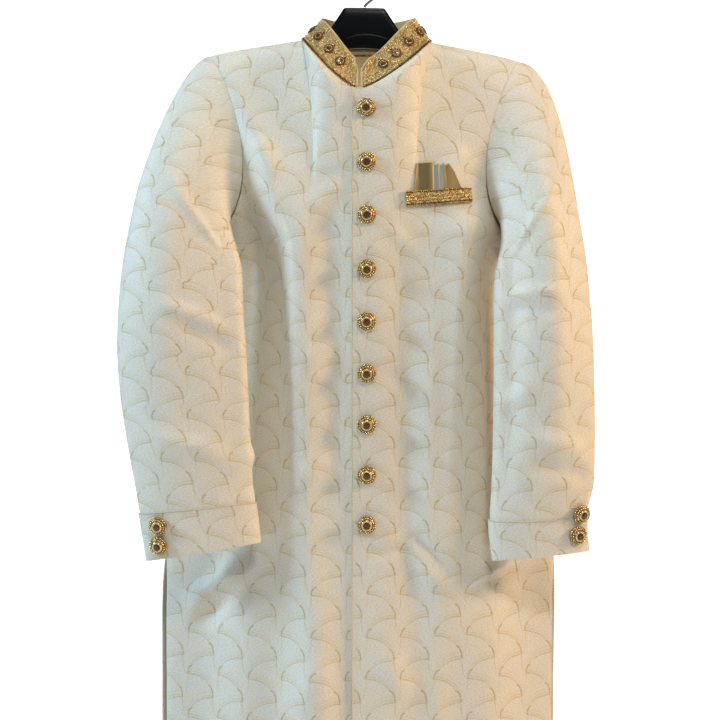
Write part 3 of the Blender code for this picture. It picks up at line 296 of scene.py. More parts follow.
# The hanger hangs a little down towards the wearer's left
HANG_SLOPE = 0.017
HANG_FADE_Z = (-0.300, -0.620)
BODY_COLUMNS = (
    "z", "right", "left", "side_y", "front_edge", "front_bulge", "back_edge", "back_bulge",
    "ridge_right", "ridge_left",
)
BODY_SECTIONS = (
    (-0.387, 0.225, 0.225, 0.014, 0.024, 0.066, 0.024, 0.023, 0.100, 0.138),
    (-0.430, 0.223, 0.221, 0.017, 0.022, 0.068, 0.022, 0.021, 0.100, 0.133),
    (-0.510, 0.249, 0.246, 0.020, 0.025, 0.066, 0.025, 0.017, 0.099, 0.126),
    (-0.580, 0.259, 0.255, 0.020, 0.026, 0.061, 0.025, 0.015, 0.098, 0.122),
    (-0.700, 0.268, 0.262, 0.021, 0.026, 0.056, 0.026, 0.016, 0.092, 0.116),
    (-0.850, 0.285, 0.270, 0.018, 0.028, 0.050, 0.027, 0.020, 0.080, 0.106),
    (-1.000, 0.286, 0.268, 0.012, 0.031, 0.044, 0.030, 0.022, 0.070, 0.095),
    (-1.175, 0.284, 0.266, 0.008, 0.034, 0.040, 0.032, 0.024, 0.062, 0.090),
)
# The fall's width just below the underarm, and at the hem; how fast the full part widens
# above the underarm
RIDGE_FALL = (0.062, 0.190)
RIDGE_SPREAD = 0.32
FULL_BACK = (0.060, 0.230)
BACK_SPREAD = 0.90

# Largest soft folds: panel face, place across at the top and bottom, half width, height
# (a trough is negative), and the heights between which the fold runs
FOLD_COLUMNS = ("face", "x_top", "x_bottom", "half_width", "height", "z_top", "z_bottom")
FOLDS = (
    ("front", -0.094, -0.066, 0.021, 0.0070, -0.200, -1.175),
    ("front", -0.140, -0.128, 0.022, -0.0060, -0.330, -0.780),
    ("front", 0.145, 0.112, 0.021, 0.0065, -0.260, -0.930),
    ("front", 0.075, 0.082, 0.026, -0.0035, -0.190, -0.620),
    ("front", -0.172, -0.180, 0.030, 0.0080, -0.800, -1.175),
    ("front", -0.118, -0.124, 0.025, -0.0060, -0.860, -1.175),
    ("front", 0.070, 0.078, 0.028, -0.0055, -0.760, -1.175),
    ("front", 0.178, 0.190, 0.030, 0.0070, -0.840, -1.175),
    ("back", -0.150, -0.160, 0.026, 0.0060, -0.300, -1.175),
    ("back", -0.075, -0.085, 0.026, -0.0050, -0.420, -1.175),
    ("back", 0.070, 0.078, 0.026, -0.0050, -0.380, -1.175),
    ("back", 0.148, 0.158, 0.026, 0.0060, -0.280, -1.175),
)

print("body sections:", len(BODY_SECTIONS), "large folds:", len(FOLDS))

# %% [markdown]
# The tables hold only a few stations each. Smooth curves run through them, and small
# helpers blend values, even out directions' lengths and look a named size up.

# %% Curves and directions
def smooth(share):
    """0 to 1 with level ends."""
    share = np.clip(share, 0.0, 1.0)
    return share * share * (3.0 - 2.0 * share)


def blend(first, second, share):
    return first + (second - first) * share


def unit(vectors):
    return vectors / np.maximum(np.linalg.norm(vectors, axis=-1, keepdims=True), 1e-12)


def curve_through(at, stations, values, last_slope=None):
    """A smooth curve through values at rising stations, with the slopes of their neighbours."""
    stations = np.asarray(stations, float)
    values = np.asarray(values, float)
    slopes = np.gradient(values, stations, axis=0)
    if last_slope is not None:
        slopes[-1] = last_slope
    i = np.clip(np.searchsorted(stations, at) - 1, 0, len(stations) - 2)
    span = stations[i + 1] - stations[i]
    s = np.clip((at - stations[i]) / span, 0.0, 1.0)
    if values.ndim > 1:
        s = s[..., None]
        span = span[..., None]
    return (
        values[i] * (1 + 2 * s) * (1 - s) ** 2
        + slopes[i] * span * s * (1 - s) ** 2
        + values[i + 1] * s * s * (3 - 2 * s)
        - slopes[i + 1] * span * s * s * (1 - s)
    )


def lines_of(columns, table, owner):
    """The rows of a table that belong to one face or side, under their columns' names."""
    return [dict(zip(columns, row)) for row in table if row[0] == owner]


def body_size(name, z):
    """One named size of the body at height z, level at the underarm."""
    table = np.array(BODY_SECTIONS)[::-1]
    values = table[:, BODY_COLUMNS.index(name)]
    return curve_through(z, table[:, 0], values, last_slope=0.0)


def side_name(side):
    return "left" if side > 0 else "right"


print("half width of the body at the hip:", round(float(body_size("left", -0.85)), 3))

# %% [markdown]
# The body runs from the neck and shoulder seams to the hem. Below the arm its form comes
# from the table of sections. Above it, the columns gather towards the
# armhole, and the cloth rolls over the shoulder.

# %% The body's surface
def neckline(face, share):
    """The neck seam from the middle (0) to a neck point (1 or -1)."""
    across = np.abs(share)
    depth = NECK_FRONT_Y if face == "front" else NECK_BACK_Y
    low = NECK_PIT_Z if face == "front" else NAPE_Z
    power = NECKLINE_CURVE if face == "front" else 2.0
    x = NECK_HALF * share + blend(NECK_PIT_X if face == "front" else NECK_SHIFT, NECK_SHIFT, across)
    y = depth * np.sqrt(np.maximum(1 - across**2, 0)) + NECK_POINT_Y * across
    z = low + (NECK_POINT_Z - low) * across**power
    return x, y, z


def shoulder_seam(side, share):
    """The shoulder seam from the neck point (0) to the armhole (1), on one side."""
    x = blend(NECK_HALF + side * NECK_SHIFT, SHOULDER_HALF, share)
    y = blend(NECK_POINT_Y, 0.0, share)
    z = blend(NECK_POINT_Z, SHOULDER_Z, share) - SHOULDER_TIP_DROP * (share**6 - share)
    return x, y, z


def armhole(turn):
    """The armhole seam of the wearer's left side: 0 at the shoulder, half a turn at the
    underarm by way of the front, and back up behind."""
    s = np.sin(turn)
    fall = (1 - np.cos(turn)) / 2
    in_front = s > 0
    reach = np.where(in_front, ARMHOLE_FRONT, ARMHOLE_BACK)
    scoop = np.where(in_front, ARMHOLE_FRONT_SCOOP, ARMHOLE_BACK_SCOOP)
    x = blend(SHOULDER_HALF, UNDERARM_HALF, fall)
    x = x - scoop * np.abs(s) ** 1.3 * (1 - 0.35 * np.cos(turn))
    y = UNDERARM_Y * fall - reach * s
    z = blend(SHOULDER_Z, UNDERARM_Z, fall)
    return x, y, z


def fold_height(face, x, z):
    """How far the folds move the cloth out from the plain section."""
    total = np.zeros(np.broadcast(x, z).shape)
    for fold in lines_of(FOLD_COLUMNS, FOLDS, face):
        down = (fold["z_top"] - z) / (fold["z_top"] - fold["z_bottom"])
        middle = blend(fold["x_top"], fold["x_bottom"], down)
        ends_free = fold["z_bottom"] <= HEM_Z
        run = smooth(down / 0.25) * (1.0 if ends_free else smooth((1 - down) / 0.25))
        total = total + fold["height"] * run * np.exp(-(((x - middle) / fold["half_width"]) ** 2))
    return total


def section_depth(face, side, x, z):
    """The depth of the body at distance x from the middle and height z. Above the underarm
    the sizes stay those of the underarm, and only the full part widens."""
    level = np.minimum(z, UNDERARM_Z)
    above = z - level
    share = np.clip(x / body_size(side_name(side), level), 0.0, 1.0)
    if face == "front":
        start = body_size("ridge_" + side_name(side), level) + RIDGE_SPREAD * above
        width = blend(*RIDGE_FALL, smooth((UNDERARM_Z - level) / (UNDERARM_Z - HEM_Z)))
    else:
        start = FULL_BACK[0] + BACK_SPREAD * above
        width = FULL_BACK[1] - FULL_BACK[0]
    out = body_size(face + "_edge", level) * np.sqrt(1 - share**2)
    out = out + body_size(face + "_bulge", level) * (1 - smooth((x - start) / width))
    out = out + fold_height(face, side * x, z) * (1 - share**8)
    return body_size("side_y", level) + (-out if face == "front" else out)


def body_point(face, column, row):
    """A point on the coat's body. column runs from the middle (0) to the side seams (1 and
    -1), row from the neck and shoulder seam (0) past the underarm (1) to the hem (2)."""
    column, row = np.broadcast_arrays(np.asarray(column, float), np.asarray(row, float))
    side = np.where(column < 0, -1.0, 1.0)
    points = np.zeros(column.shape + (3,))
    for sign in (1.0, -1.0):
        mask = side == sign
        if mask.any():
            points[mask] = half_body_point(face, sign, np.abs(column[mask]), row[mask])
    return points


NECK_COLUMN = 0.28


def half_body_point(face, side, c, row):
    t = np.clip(row, 0.0, 1.0)
    fall = (1 - np.cos(math.pi * t)) / 2
    ease = np.sin(fall * math.pi / 2)
    sign = 1.0 if face == "front" else -1.0
    neck_share = np.clip(c / NECK_COLUMN, 0.0, 1.0)
    seam_share = np.sin(np.clip((c - NECK_COLUMN) / (1 - NECK_COLUMN), 0.0, 1.0) * math.pi / 2)
    on_neck = c < NECK_COLUMN
    neck = neckline(face, side * neck_share)
    neck = (side * neck[0], neck[1], neck[2])
    top = [np.where(on_neck, a, b) for a, b in zip(neck, shoulder_seam(side, seam_share))]
    hole = armhole(sign * math.pi * t)
    # above the underarm, the columns close up where the armhole scoops in
    side_line = blend(SHOULDER_HALF, UNDERARM_HALF, fall)
    x = blend(top[0], UNDERARM_HALF * np.sin(c * math.pi / 2), fall) * hole[0] / side_line
    z = blend(top[2], UNDERARM_Z, fall)
    y = head_depth(face, side, x, z, top, ease, smooth(c / NECK_COLUMN))
    edge_z = blend(SHOULDER_Z, UNDERARM_Z, fall)
    edge = head_depth(face, side, hole[0], edge_z, (None, 0.0, SHOULDER_Z), ease, 1.0)
    y = y + (x / hole[0]) ** 5 * (hole[1] - edge)
    # below it, the sections
    below = row > 1.0
    low_z = blend(UNDERARM_Z, HEM_Z, np.maximum(row - 1.0, 0.0))
    low_x = body_size(side_name(side), low_z) * np.sin(c * math.pi / 2)
    x = np.where(below, low_x, x)
    y = np.where(below, section_depth(face, side, low_x, low_z), y)
    z = np.where(below, low_z, z)
    x, y = open_slit(face, side, c, x, y, z)
    return np.stack([side * x, y, z], axis=-1)


def head_depth(face, side, x, z, top, ease, rolled):
    """The body's depth above the underarm: it rolls over the shoulder and eases into the
    chest's section."""
    drop = np.clip((top[2] - z) / SHOULDER_ROLL, 0.0, 1.0)
    roll = SHOULDER_ROLL * np.sqrt(1 - (1 - drop) ** 2) * rolled * (1 - ease)
    roll = -roll if face == "front" else roll
    return top[1] * (1 - ease) + section_depth(face, side, x, z) * ease + roll


def open_slit(face, side, c, x, y, z):
    """Below the hip the side seam is open: the front edge draws in and the back stands out."""
    opened = smooth((SLIT_TOP_Z - z) / (SLIT_TOP_Z - SLIT_OPEN_Z)) * c**10
    amount = 1.0 if side < 0 else SLIT_LEFT_SHARE
    across, out = SLIT_SPREAD[face]
    return x + across * amount * opened, y + out * opened


def hang(points):
    """The hanger's small slope, which fades out below the chest."""
    top, bottom = HANG_FADE_Z
    points = np.array(points, float)
    fade = 1 - smooth((top - points[..., 2]) / (top - bottom))
    points[..., 2] -= HANG_SLOPE * points[..., 0] * fade
    return points


print("chest point:", np.round(body_point("front", 0.4, 0.8), 3))

# %% [markdown]
# A sleeve hangs from the armhole as a flattened tube. Each section has an outer and an
# inner edge, and the head swings smoothly from the armhole into the first hanging
# section.

# %% The sleeves' surface
SLEEVE_COLUMNS = ("outer", "outer_z", "inner", "inner_z", "mid_y", "half_depth")
SLEEVE_SECTIONS = {
    "right": (
        (0.3210, -0.345, 0.1705, -0.430, -0.059, 0.039),
        (0.3350, -0.415, 0.1695, -0.460, -0.063, 0.040),
        (0.3410, -0.480, 0.1680, -0.490, -0.066, 0.039),
        (0.3420, -0.545, 0.1640, -0.545, -0.067, 0.037),
        (0.3360, -0.610, 0.1610, -0.602, -0.067, 0.034),
        (0.3260, -0.673, 0.1575, -0.658, -0.066, 0.031),
        (0.3150, -0.731, 0.1540, -0.711, -0.064, 0.027),
        (0.3070, -0.779, 0.1490, -0.756, -0.063, 0.024),
        (0.2996, -0.825, 0.1443, -0.799, -0.062, 0.021),
    ),
    "left": (
        (0.2970, -0.345, 0.1785, -0.430, -0.059, 0.040),
        (0.3065, -0.405, 0.1780, -0.460, -0.063, 0.041),
        (0.3120, -0.465, 0.1780, -0.490, -0.066, 0.041),
        (0.3160, -0.530, 0.1780, -0.548, -0.067, 0.040),
        (0.3175, -0.595, 0.1775, -0.606, -0.067, 0.037),
        (0.3180, -0.658, 0.1765, -0.666, -0.066, 0.033),
        (0.3165, -0.717, 0.1745, -0.726, -0.064, 0.028),
        (0.3065, -0.763, 0.1725, -0.776, -0.063, 0.024),
        (0.3085, -0.811, 0.1774, -0.824, -0.062, 0.021),
    ),
}
SLEEVE_TWIST = math.radians(35)
SLEEVE_BACK_SEAM_ROW = 0.33
SLEEVE_FRONT_SEAM_ROW = 0.82
SLEEVE_SEAMS_AT_CUFF = (math.radians(-14), math.radians(194))
# How strongly the sleeve's head swells on each side, and how strongly its underside
HEAD_PULL = {"right": 0.42, "left": 0.66}
UNDERARM_PULL = 1.00
# How far the sleeve's lowest point stands off the underarm, so the deep fold there stays open
UNDERARM_CLEAR = np.array([0.0040, -0.0010, 0.0028])
# Directions in which the sleeve leaves the armhole
SHOULDER_LEAVE = np.array([0.99, 0.0, -0.12])
UNDERARM_LEAVE = np.array([1.00, 0.00, 0.10])
FRONT_LEAVE = np.array([0.35, -0.45, -0.82])
# Soft folds along the sleeves: turn round the sleeve in degrees at the top and bottom, half
# width in degrees, height, and the rows between which the fold runs
SLEEVE_FOLD_COLUMNS = ("side", "turn_top", "turn_bottom", "half_width", "height", "row_top", "row_bottom")
SLEEVE_FOLDS = (
    ("right", 60, 100, 24, 0.0040, 0.40, 1.60),
    ("right", 115, 140, 24, -0.0045, 0.55, 1.90),
    ("right", 20, 35, 26, -0.0035, 0.90, 1.90),
    ("right", 215, 235, 30, 0.0040, 0.60, 1.80),
    ("right", 290, 300, 30, -0.0040, 0.50, 1.70),
    ("left", 75, 95, 24, 0.0040, 0.50, 1.60),
    ("left", 125, 150, 22, -0.0045, 0.60, 1.95),
    ("left", 35, 45, 26, -0.0035, 0.90, 1.90),
    ("left", 225, 240, 30, 0.0040, 0.60, 1.80),
    ("left", 295, 305, 30, -0.0040, 0.50, 1.70),
)
# Cuff bands: height at the sleeve's outer and inner edge
CUFF_HEIGHTS = {"right": (0.066, 0.053), "left": (0.046, 0.056)}
CUFF_WALL = 0.0014


def sleeve_ring(side, angle, along):
    """A point on the hanging sleeve. angle 0 is its outer edge and a quarter turn its front;
    along runs from the first section (0) to the cuff's end (1)."""
    table = np.array(SLEEVE_SECTIONS[side_name(side)])
    stations = np.linspace(0, 1, len(table))
    size = {n: curve_through(along, stations, table[:, i]) for i, n in enumerate(SLEEVE_COLUMNS)}
    c, s = np.cos(angle), np.sin(angle)
    fold = sleeve_fold(side, angle, 1.0 + along)
    x = blend(size["inner"], size["outer"], (1 + c) / 2) + fold * c
    z = blend(size["inner_z"], size["outer_z"], (1 + c) / 2)
    y = size["mid_y"] - (size["half_depth"] + fold) * s
    return np.stack([x, y, z], axis=-1)


def sleeve_fold(side, angle, row):
    """How far the folds move the sleeve's cloth out."""
    total = np.zeros(np.broadcast(angle, row).shape)
    for fold in lines_of(SLEEVE_FOLD_COLUMNS, SLEEVE_FOLDS, side_name(side)):
        down = (row - fold["row_top"]) / (fold["row_bottom"] - fold["row_top"])
        middle = np.radians(blend(fold["turn_top"], fold["turn_bottom"], down))
        away = np.abs((angle - middle + math.pi) % (2 * math.pi) - math.pi)
        run = smooth(down / 0.3) * smooth((1 - down) / 0.3)
        total = total + fold["height"] * run * np.exp(-((away / math.radians(fold["half_width"])) ** 2))
    return total


def sleeve_point(side, angle, row):
    """A point on the sleeve. row runs from the armhole (0) past the first hanging section (1)
    to the cuff's end (2)."""
    angle, row = np.broadcast_arrays(np.asarray(angle, float), np.asarray(row, float))
    turned = angle + SLEEVE_TWIST * (1 - np.cos(angle)) / 2
    under = (((1 - np.cos(angle)) / 2) ** 4)[..., None]
    start = np.stack(armhole(angle), axis=-1) + UNDERARM_CLEAR * under
    first = sleeve_ring(side, turned, np.zeros_like(row))
    step = 1e-3
    onward = unit(sleeve_ring(side, turned, np.full_like(row, step)) - first)
    gap = np.linalg.norm(first - start, axis=-1, keepdims=True)
    upper = ((1 + np.cos(angle)) / 2)[..., None]
    ahead = np.maximum(np.sin(angle), 0.0)[..., None]
    leave = blend(blend(UNDERARM_LEAVE, FRONT_LEAVE, ahead), SHOULDER_LEAVE, upper)
    pull = blend(UNDERARM_PULL, HEAD_PULL[side_name(side)], upper)
    t = np.clip(row, 0.0, 1.0)[..., None]
    head = (
        start * (1 + 2 * t) * (1 - t) ** 2
        + leave * gap * pull * t * (1 - t) ** 2
        + first * t * t * (3 - 2 * t)
        - onward * gap * 0.9 * t * t * (1 - t)
    )
    hanging = sleeve_ring(side, turned, np.clip(row - 1.0, 0.0, 1.0))
    points = np.where((row > 1.0)[..., None], hanging, head)
    return points * np.array([side, 1.0, 1.0])


def sleeve_length(side, angle):
    """The rows of the hanging sleeve and its length down to each of them, along one turn."""
    rows = np.linspace(1.0, 2.0, 60)
    line = sleeve_point(side, np.asarray(angle)[..., None], rows)
    steps = np.linalg.norm(np.diff(line, axis=-2), axis=-1)
    return rows, np.concatenate([np.zeros(steps.shape[:-1] + (1,)), np.cumsum(steps, axis=-1)], axis=-1)


def row_above_end(side, angle, height):
    """The sleeve row that lies this far above the sleeve's end, for each angle."""
    angle = np.atleast_1d(angle)
    height = np.broadcast_to(height, angle.shape)
    rows, length = sleeve_length(side, angle)
    return np.array([np.interp(line[-1] - h, line, rows) for line, h in zip(length, height)])


def cuff_top(side, angle):
    """The row at which the cuff band starts."""
    outer, inner = CUFF_HEIGHTS[side_name(side)]
    return row_above_end(side, angle, blend(inner, outer, (1 + np.cos(angle)) / 2))


print("left sleeve's end:", np.round(sleeve_point(1.0, 0.0, 2.0), 3))

# %% [markdown]
# Fine creases are what make cloth look soft. Each one is a soft ridge or trough along a
# short line on the coat, placed where the cloth is pulled or pushed. They are kept
# shallow, so that the fine cloth stays within the solid's box.

# %% Fine creases
CREASE_GAIN = 1.9
CREASE_COLUMNS = ("face", "x1", "z1", "x2", "z2", "half_width", "height")
CREASES = (
    ("front", 0.055, -0.795, 0.110, -0.870, 0.010, 0.0030),
    ("front", 0.068, -0.785, 0.125, -0.850, 0.008, -0.0026),
    ("front", 0.135, -0.865, 0.232, -0.815, 0.007, 0.0034),
    ("front", 0.130, -0.880, 0.225, -0.835, 0.009, -0.0028),
    ("front", -0.160, -0.825, -0.262, -0.905, 0.016, 0.0050),
    ("front", -0.150, -0.850, -0.250, -0.935, 0.014, -0.0034),
    ("front", 0.008, -0.800, 0.050, -0.792, 0.006, 0.0016),
    ("front", 0.004, -0.818, 0.060, -0.806, 0.007, -0.0016),
    ("front", -0.030, -0.300, -0.075, -0.345, 0.012, 0.0018),
    ("front", 0.030, -0.360, 0.070, -0.400, 0.012, 0.0016),
    ("front", -0.040, -0.520, -0.085, -0.560, 0.013, 0.0020),
    ("front", 0.020, -0.560, 0.075, -0.600, 0.014, -0.0018),
    ("front", -0.050, -0.680, -0.098, -0.720, 0.012, 0.0018),
    ("front", 0.140, -0.250, 0.110, -0.300, 0.012, 0.0020),
    ("front", -0.150, -0.240, -0.118, -0.300, 0.012, 0.0022),
    ("front", 0.020, -0.950, 0.060, -1.020, 0.018, 0.0024),
    ("front", -0.060, -0.960, -0.100, -1.050, 0.018, 0.0026),
    ("front", 0.044, -0.300, 0.056, -0.860, 0.018, -0.0034),
    ("front", -0.046, -0.260, -0.040, -0.760, 0.018, -0.0024),
    ("front", 0.094, -0.420, 0.090, -0.900, 0.016, 0.0026),
    ("front", -0.120, -0.360, -0.104, -0.760, 0.014, -0.0030),
    ("front", -0.062, -0.820, -0.050, -1.240, 0.020, 0.0030),
    ("front", 0.120, -0.900, 0.132, -1.260, 0.022, -0.0032),
    ("back", -0.060, -0.260, -0.120, -0.330, 0.016, 0.0026),
    ("back", 0.060, -0.250, 0.125, -0.330, 0.016, 0.0026),
    ("back", -0.040, -0.560, -0.120, -0.600, 0.018, 0.0026),
    ("back", 0.050, -0.590, 0.130, -0.640, 0.018, -0.0022),
    ("back", -0.030, -0.800, -0.100, -0.860, 0.020, 0.0028),
    ("back", 0.030, -0.900, 0.110, -0.960, 0.020, 0.0026),
)
SLEEVE_CREASE_COLUMNS = ("side", "turn1", "row1", "turn2", "row2", "half_width", "height")
SLEEVE_CREASES = (
    ("right", 60, 1.22, 120, 1.30, 0.030, 0.0026),
    ("right", 70, 1.27, 125, 1.36, 0.026, -0.0022),
    ("right", 40, 1.58, 110, 1.66, 0.030, 0.0026),
    ("right", 100, 1.72, 160, 1.66, 0.026, 0.0028),
    ("right", 95, 1.80, 150, 1.76, 0.022, -0.0022),
    ("right", 50, 0.70, 110, 0.86, 0.040, 0.0024),
    ("right", 128, 0.35, 134, 1.78, 0.13, 0.0028),
    ("right", 78, 0.55, 84, 1.72, 0.13, -0.0024),
    ("left", 62, 0.45, 70, 1.76, 0.13, 0.0028),
    ("left", 106, 0.55, 112, 1.80, 0.12, -0.0024),
    ("left", 60, 1.20, 120, 1.14, 0.030, 0.0026),
    ("left", 55, 1.27, 118, 1.22, 0.026, -0.0022),
    ("left", 30, 1.66, 100, 1.60, 0.028, 0.0030),
    ("left", 25, 1.73, 95, 1.68, 0.024, -0.0026),
    ("left", 80, 1.46, 140, 1.52, 0.030, 0.0024),
    ("left", 50, 0.72, 110, 0.90, 0.040, 0.0024),
)


def crease_height(face, x, z):
    """How far the fine creases move the body's cloth out."""
    total = np.zeros(np.broadcast(x, z).shape)
    for line in lines_of(CREASE_COLUMNS, CREASES, face):
        total = total + along_line(x - line["x1"], z - line["z1"], line, "x", "z")
    return total


def along_line(x, z, line, first, second):
    """A soft ridge along a short line, which fades at both ends."""
    run = np.array([line[first + "2"] - line[first + "1"], line[second + "2"] - line[second + "1"]])
    length = float(np.linalg.norm(run))
    run = run / length
    share = (x * run[0] + z * run[1]) / length
    away = (x * run[1] - z * run[0]) / line["half_width"]
    ends = smooth(share / 0.4 + 0.2) * smooth((1 - share) / 0.4 + 0.2)
    return CREASE_GAIN * line["height"] * ends * np.exp(-(away**2))


def sleeve_crease(side, angle, row):
    """How far the fine creases move the sleeve's cloth out, in turns and rows."""
    total = np.zeros(np.broadcast(angle, row).shape)
    turn = np.degrees(angle) / 100.0
    for line in lines_of(SLEEVE_CREASE_COLUMNS, SLEEVE_CREASES, side_name(side)):
        scaled = dict(line, turn1=line["turn1"] / 100.0, turn2=line["turn2"] / 100.0)
        total = total + along_line(turn - scaled["turn1"], row - scaled["row1"], scaled, "turn", "row")
    return total


print("fine creases:", len(CREASES), "on the body and", len(SLEEVE_CREASES), "on the sleeves")

# %% [markdown]
# Each panel becomes a closed wall: an outer sheet of points, the same sheet moved in by
# the cloth's thickness, and a rim that joins them. The UV map holds real metres measured
# along the cloth, so that the woven figure keeps its size and follows every fold.

# %% Walls of cloth
def wall_faces(grid, sheet, closed):
    """Quads of the outer sheet, of the inner one, and of the rim between them, from the
    grid of the outer sheet's numbers and the count of numbers in one sheet."""
    a, b, c, d = grid[:-1, :-1], grid[:-1, 1:], grid[1:, 1:], grid[1:, :-1]
    outer = np.stack([a, d, c, b], axis=-1).reshape(-1, 4)
    inner = outer[:, ::-1] + sheet
    loops = [grid[0], grid[-1][::-1]] if closed else [
        np.concatenate([grid[0], grid[1:, -1], grid[-1, -2::-1], grid[-2::-1, 0]])
    ]
    rim = [
        np.stack([loop[:-1], loop[1:], loop[1:] + sheet, loop[:-1] + sheet], axis=-1)
        for loop in loops
    ]
    return outer, inner, np.concatenate(rim)


def linked(name, data):
    """A new object in the scene, at the origin."""
    piece = bpy.data.objects.new(name, data)
    bpy.context.scene.collection.objects.link(piece)
    return piece


def mesh_object(name, vertices, faces, materials, slots=None, uv=None, spots=None, sharp=50.0):
    """A plain mesh object at the origin, smooth shaded, with faces that point out. Spots
    are the faces' corners in the map, where the map has more of them than the mesh."""
    spots = faces if spots is None else spots
    corners = vertices[faces[:, :3]]
    if np.einsum("ij,ij->", corners[:, 0], np.cross(corners[:, 1], corners[:, 2])) + np.einsum(
        "ij,ij->", vertices[faces[:, 0]], np.cross(vertices[faces[:, 2]], vertices[faces[:, -1]])
    ) < 0:
        faces, spots = faces[:, ::-1], spots[:, ::-1]
    mesh = bpy.data.meshes.new(name)
    mesh.from_pydata(vertices.tolist(), [], faces.tolist())
    if uv is not None:
        layer = mesh.uv_layers.new(name="cloth")
        layer.data.foreach_set("uv", uv[spots.ravel()].astype(np.float32).ravel())
    for material in materials:
        mesh.materials.append(material)
    if slots is not None:
        mesh.polygons.foreach_set("material_index", slots)
    mesh.shade_smooth()
    mesh.set_sharp_from_angle(angle=math.radians(sharp))
    mesh.update()
    return linked(name, mesh)


def cloth_wall(name, outer, inner, uv, materials, closed=False):
    """A closed wall of cloth, with its lining on the inner sheet."""
    grid = np.arange(outer[..., 0].size).reshape(outer.shape[:2])
    spots = grid
    if closed:
        # the tube's mesh shares its seam, but its map goes on past it by one column
        grid = np.concatenate([grid, grid[:, :1]], axis=1)
        uv = np.concatenate([uv, 2 * uv[:, -1:] - uv[:, -2:-1]], axis=1)
        spots = np.arange(uv[..., 0].size).reshape(uv.shape[:2])
    sheets = wall_faces(grid, outer[..., 0].size, closed)
    spots = np.concatenate(wall_faces(spots, spots.size, closed))
    vertices = hang(np.concatenate([outer.reshape(-1, 3), inner.reshape(-1, 3)]))
    faces = np.concatenate(sheets)
    slots = np.concatenate([np.full(len(s), k) for k, s in zip((0, len(materials) - 1, 0), sheets)])
    both = np.concatenate([uv.reshape(-1, 2)] * 2)
    return mesh_object(name, vertices, faces, materials, slots, both, spots)


def wear(piece, slot_name, *nodes):
    """The piece rides the coat's one body, and stands for the solids that are named."""
    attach(piece, "root")
    if nodes:
        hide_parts(*nodes)


print("helpers ready")

# %% [markdown]
# Where two panels meet, both walls must lean the same way, or their inner sides would
# cross. So the thickness follows the surface's own normal inside a panel, and a shared
# direction, halfway between the neighbours, at the neck, the shoulder, the side and the
# armhole.

# %% Wall directions and shared seams
COLLAR_WALL = 0.0026
COLLAR_HEIGHT = 0.042
COLLAR_END_HEIGHT = 0.026
COLLAR_CORNER = 0.024
# The front ends' distance from the pit, as a share of the neckline's half width
COLLAR_END_SHARE = 0.036
COLLAR_LEAN = {"middle": 0.42, "side": 0.86, "back": 0.25}
COLLAR_LEAN_ACROSS = 0.14
NECK_STEPS = 160


def column_at(face, x, rows):
    """The column that lies at distance x from the middle, for each row."""
    tries = np.sign(x) * np.linspace(0, 0.3, 61)
    reach = body_point(face, tries[None, :], rows[:, None])[..., 0]
    return np.array([np.interp(abs(x), np.abs(line), np.abs(tries)) for line in reach]) * np.sign(x)


def body_normals(face, columns, rows):
    """Outward normals of a body face."""
    columns, rows = np.broadcast_arrays(np.asarray(columns, float), np.asarray(rows, float))
    step = 0.008
    right = body_point(face, np.minimum(columns + step, 1.0), rows)
    left = body_point(face, np.maximum(columns - step, -1.0), rows)
    low = body_point(face, columns, np.minimum(rows + step, 2.0))
    high = body_point(face, columns, np.maximum(rows - step, 0.0))
    normals = unit(np.cross(low - high, right - left))
    return normals if face == "front" else -normals


def lap_shift(points, normals):
    """How far the overlapping front is moved out near the middle."""
    fade = 1 - smooth((points[..., 0] - LAP_FADE_X[0]) / (LAP_FADE_X[1] - LAP_FADE_X[0]))
    level = unit(normals * np.array([1.0, 1.0, 0.0]))
    return level * (LAP_LIFT * fade)[..., None]


def sleeve_normals(side, angle, rows):
    """Outward normals of the sleeve, from the surface itself so that both parts agree."""
    step = 0.02
    across = sleeve_point(side, angle + step, rows) - sleeve_point(side, angle - step, rows)
    low = sleeve_point(side, angle, np.minimum(rows + step, 2.0))
    high = sleeve_point(side, angle, np.maximum(rows - step, 0.0))
    return unit(np.cross(across, low - high)) * side


def armhole_normals(side, turn):
    """The wall directions of the body and of the sleeve at the armhole. Where the cloth runs
    on over the seam they share the mitre; in the fold below the arm each keeps its own."""
    turn = np.asarray(turn, float)
    wrapped = (turn + math.pi) % (2 * math.pi) - math.pi
    row = np.abs(wrapped) / math.pi
    edge = np.full(row.shape, side)
    front = body_normals("front", edge, row)
    back = body_normals("back", edge, row)
    both = (row < 1e-6) | (row > 1 - 1e-6)
    body = np.where(both[..., None], unit(front + back), np.where((wrapped > 0)[..., None], front, back))
    sleeve = sleeve_normals(side, turn, np.zeros_like(turn))
    shared = smooth(((body * sleeve).sum(-1, keepdims=True) + 0.2) / 0.8)
    return unit(body + sleeve * shared), unit(sleeve + body * shared)


def inset(points, left=0.0, right=0.0, top=0.0):
    """Moves the edges of a grid in, so that pieces lie apart at their seams."""
    points = points.copy()
    for edge, inner, gap in (
        ((slice(None), 0), (slice(None), 1), left),
        ((slice(None), -1), (slice(None), -2), right),
        ((0, slice(None)), (1, slice(None)), top),
    ):
        if gap:
            points[edge] += gap * unit(points[inner] - points[edge])
    return points


def normals_of(points):
    """Outward normals of a grid whose rows run down and whose columns run round to +X as
    seen from the front."""
    return unit(np.cross(np.gradient(points, axis=0), np.gradient(points, axis=1)))


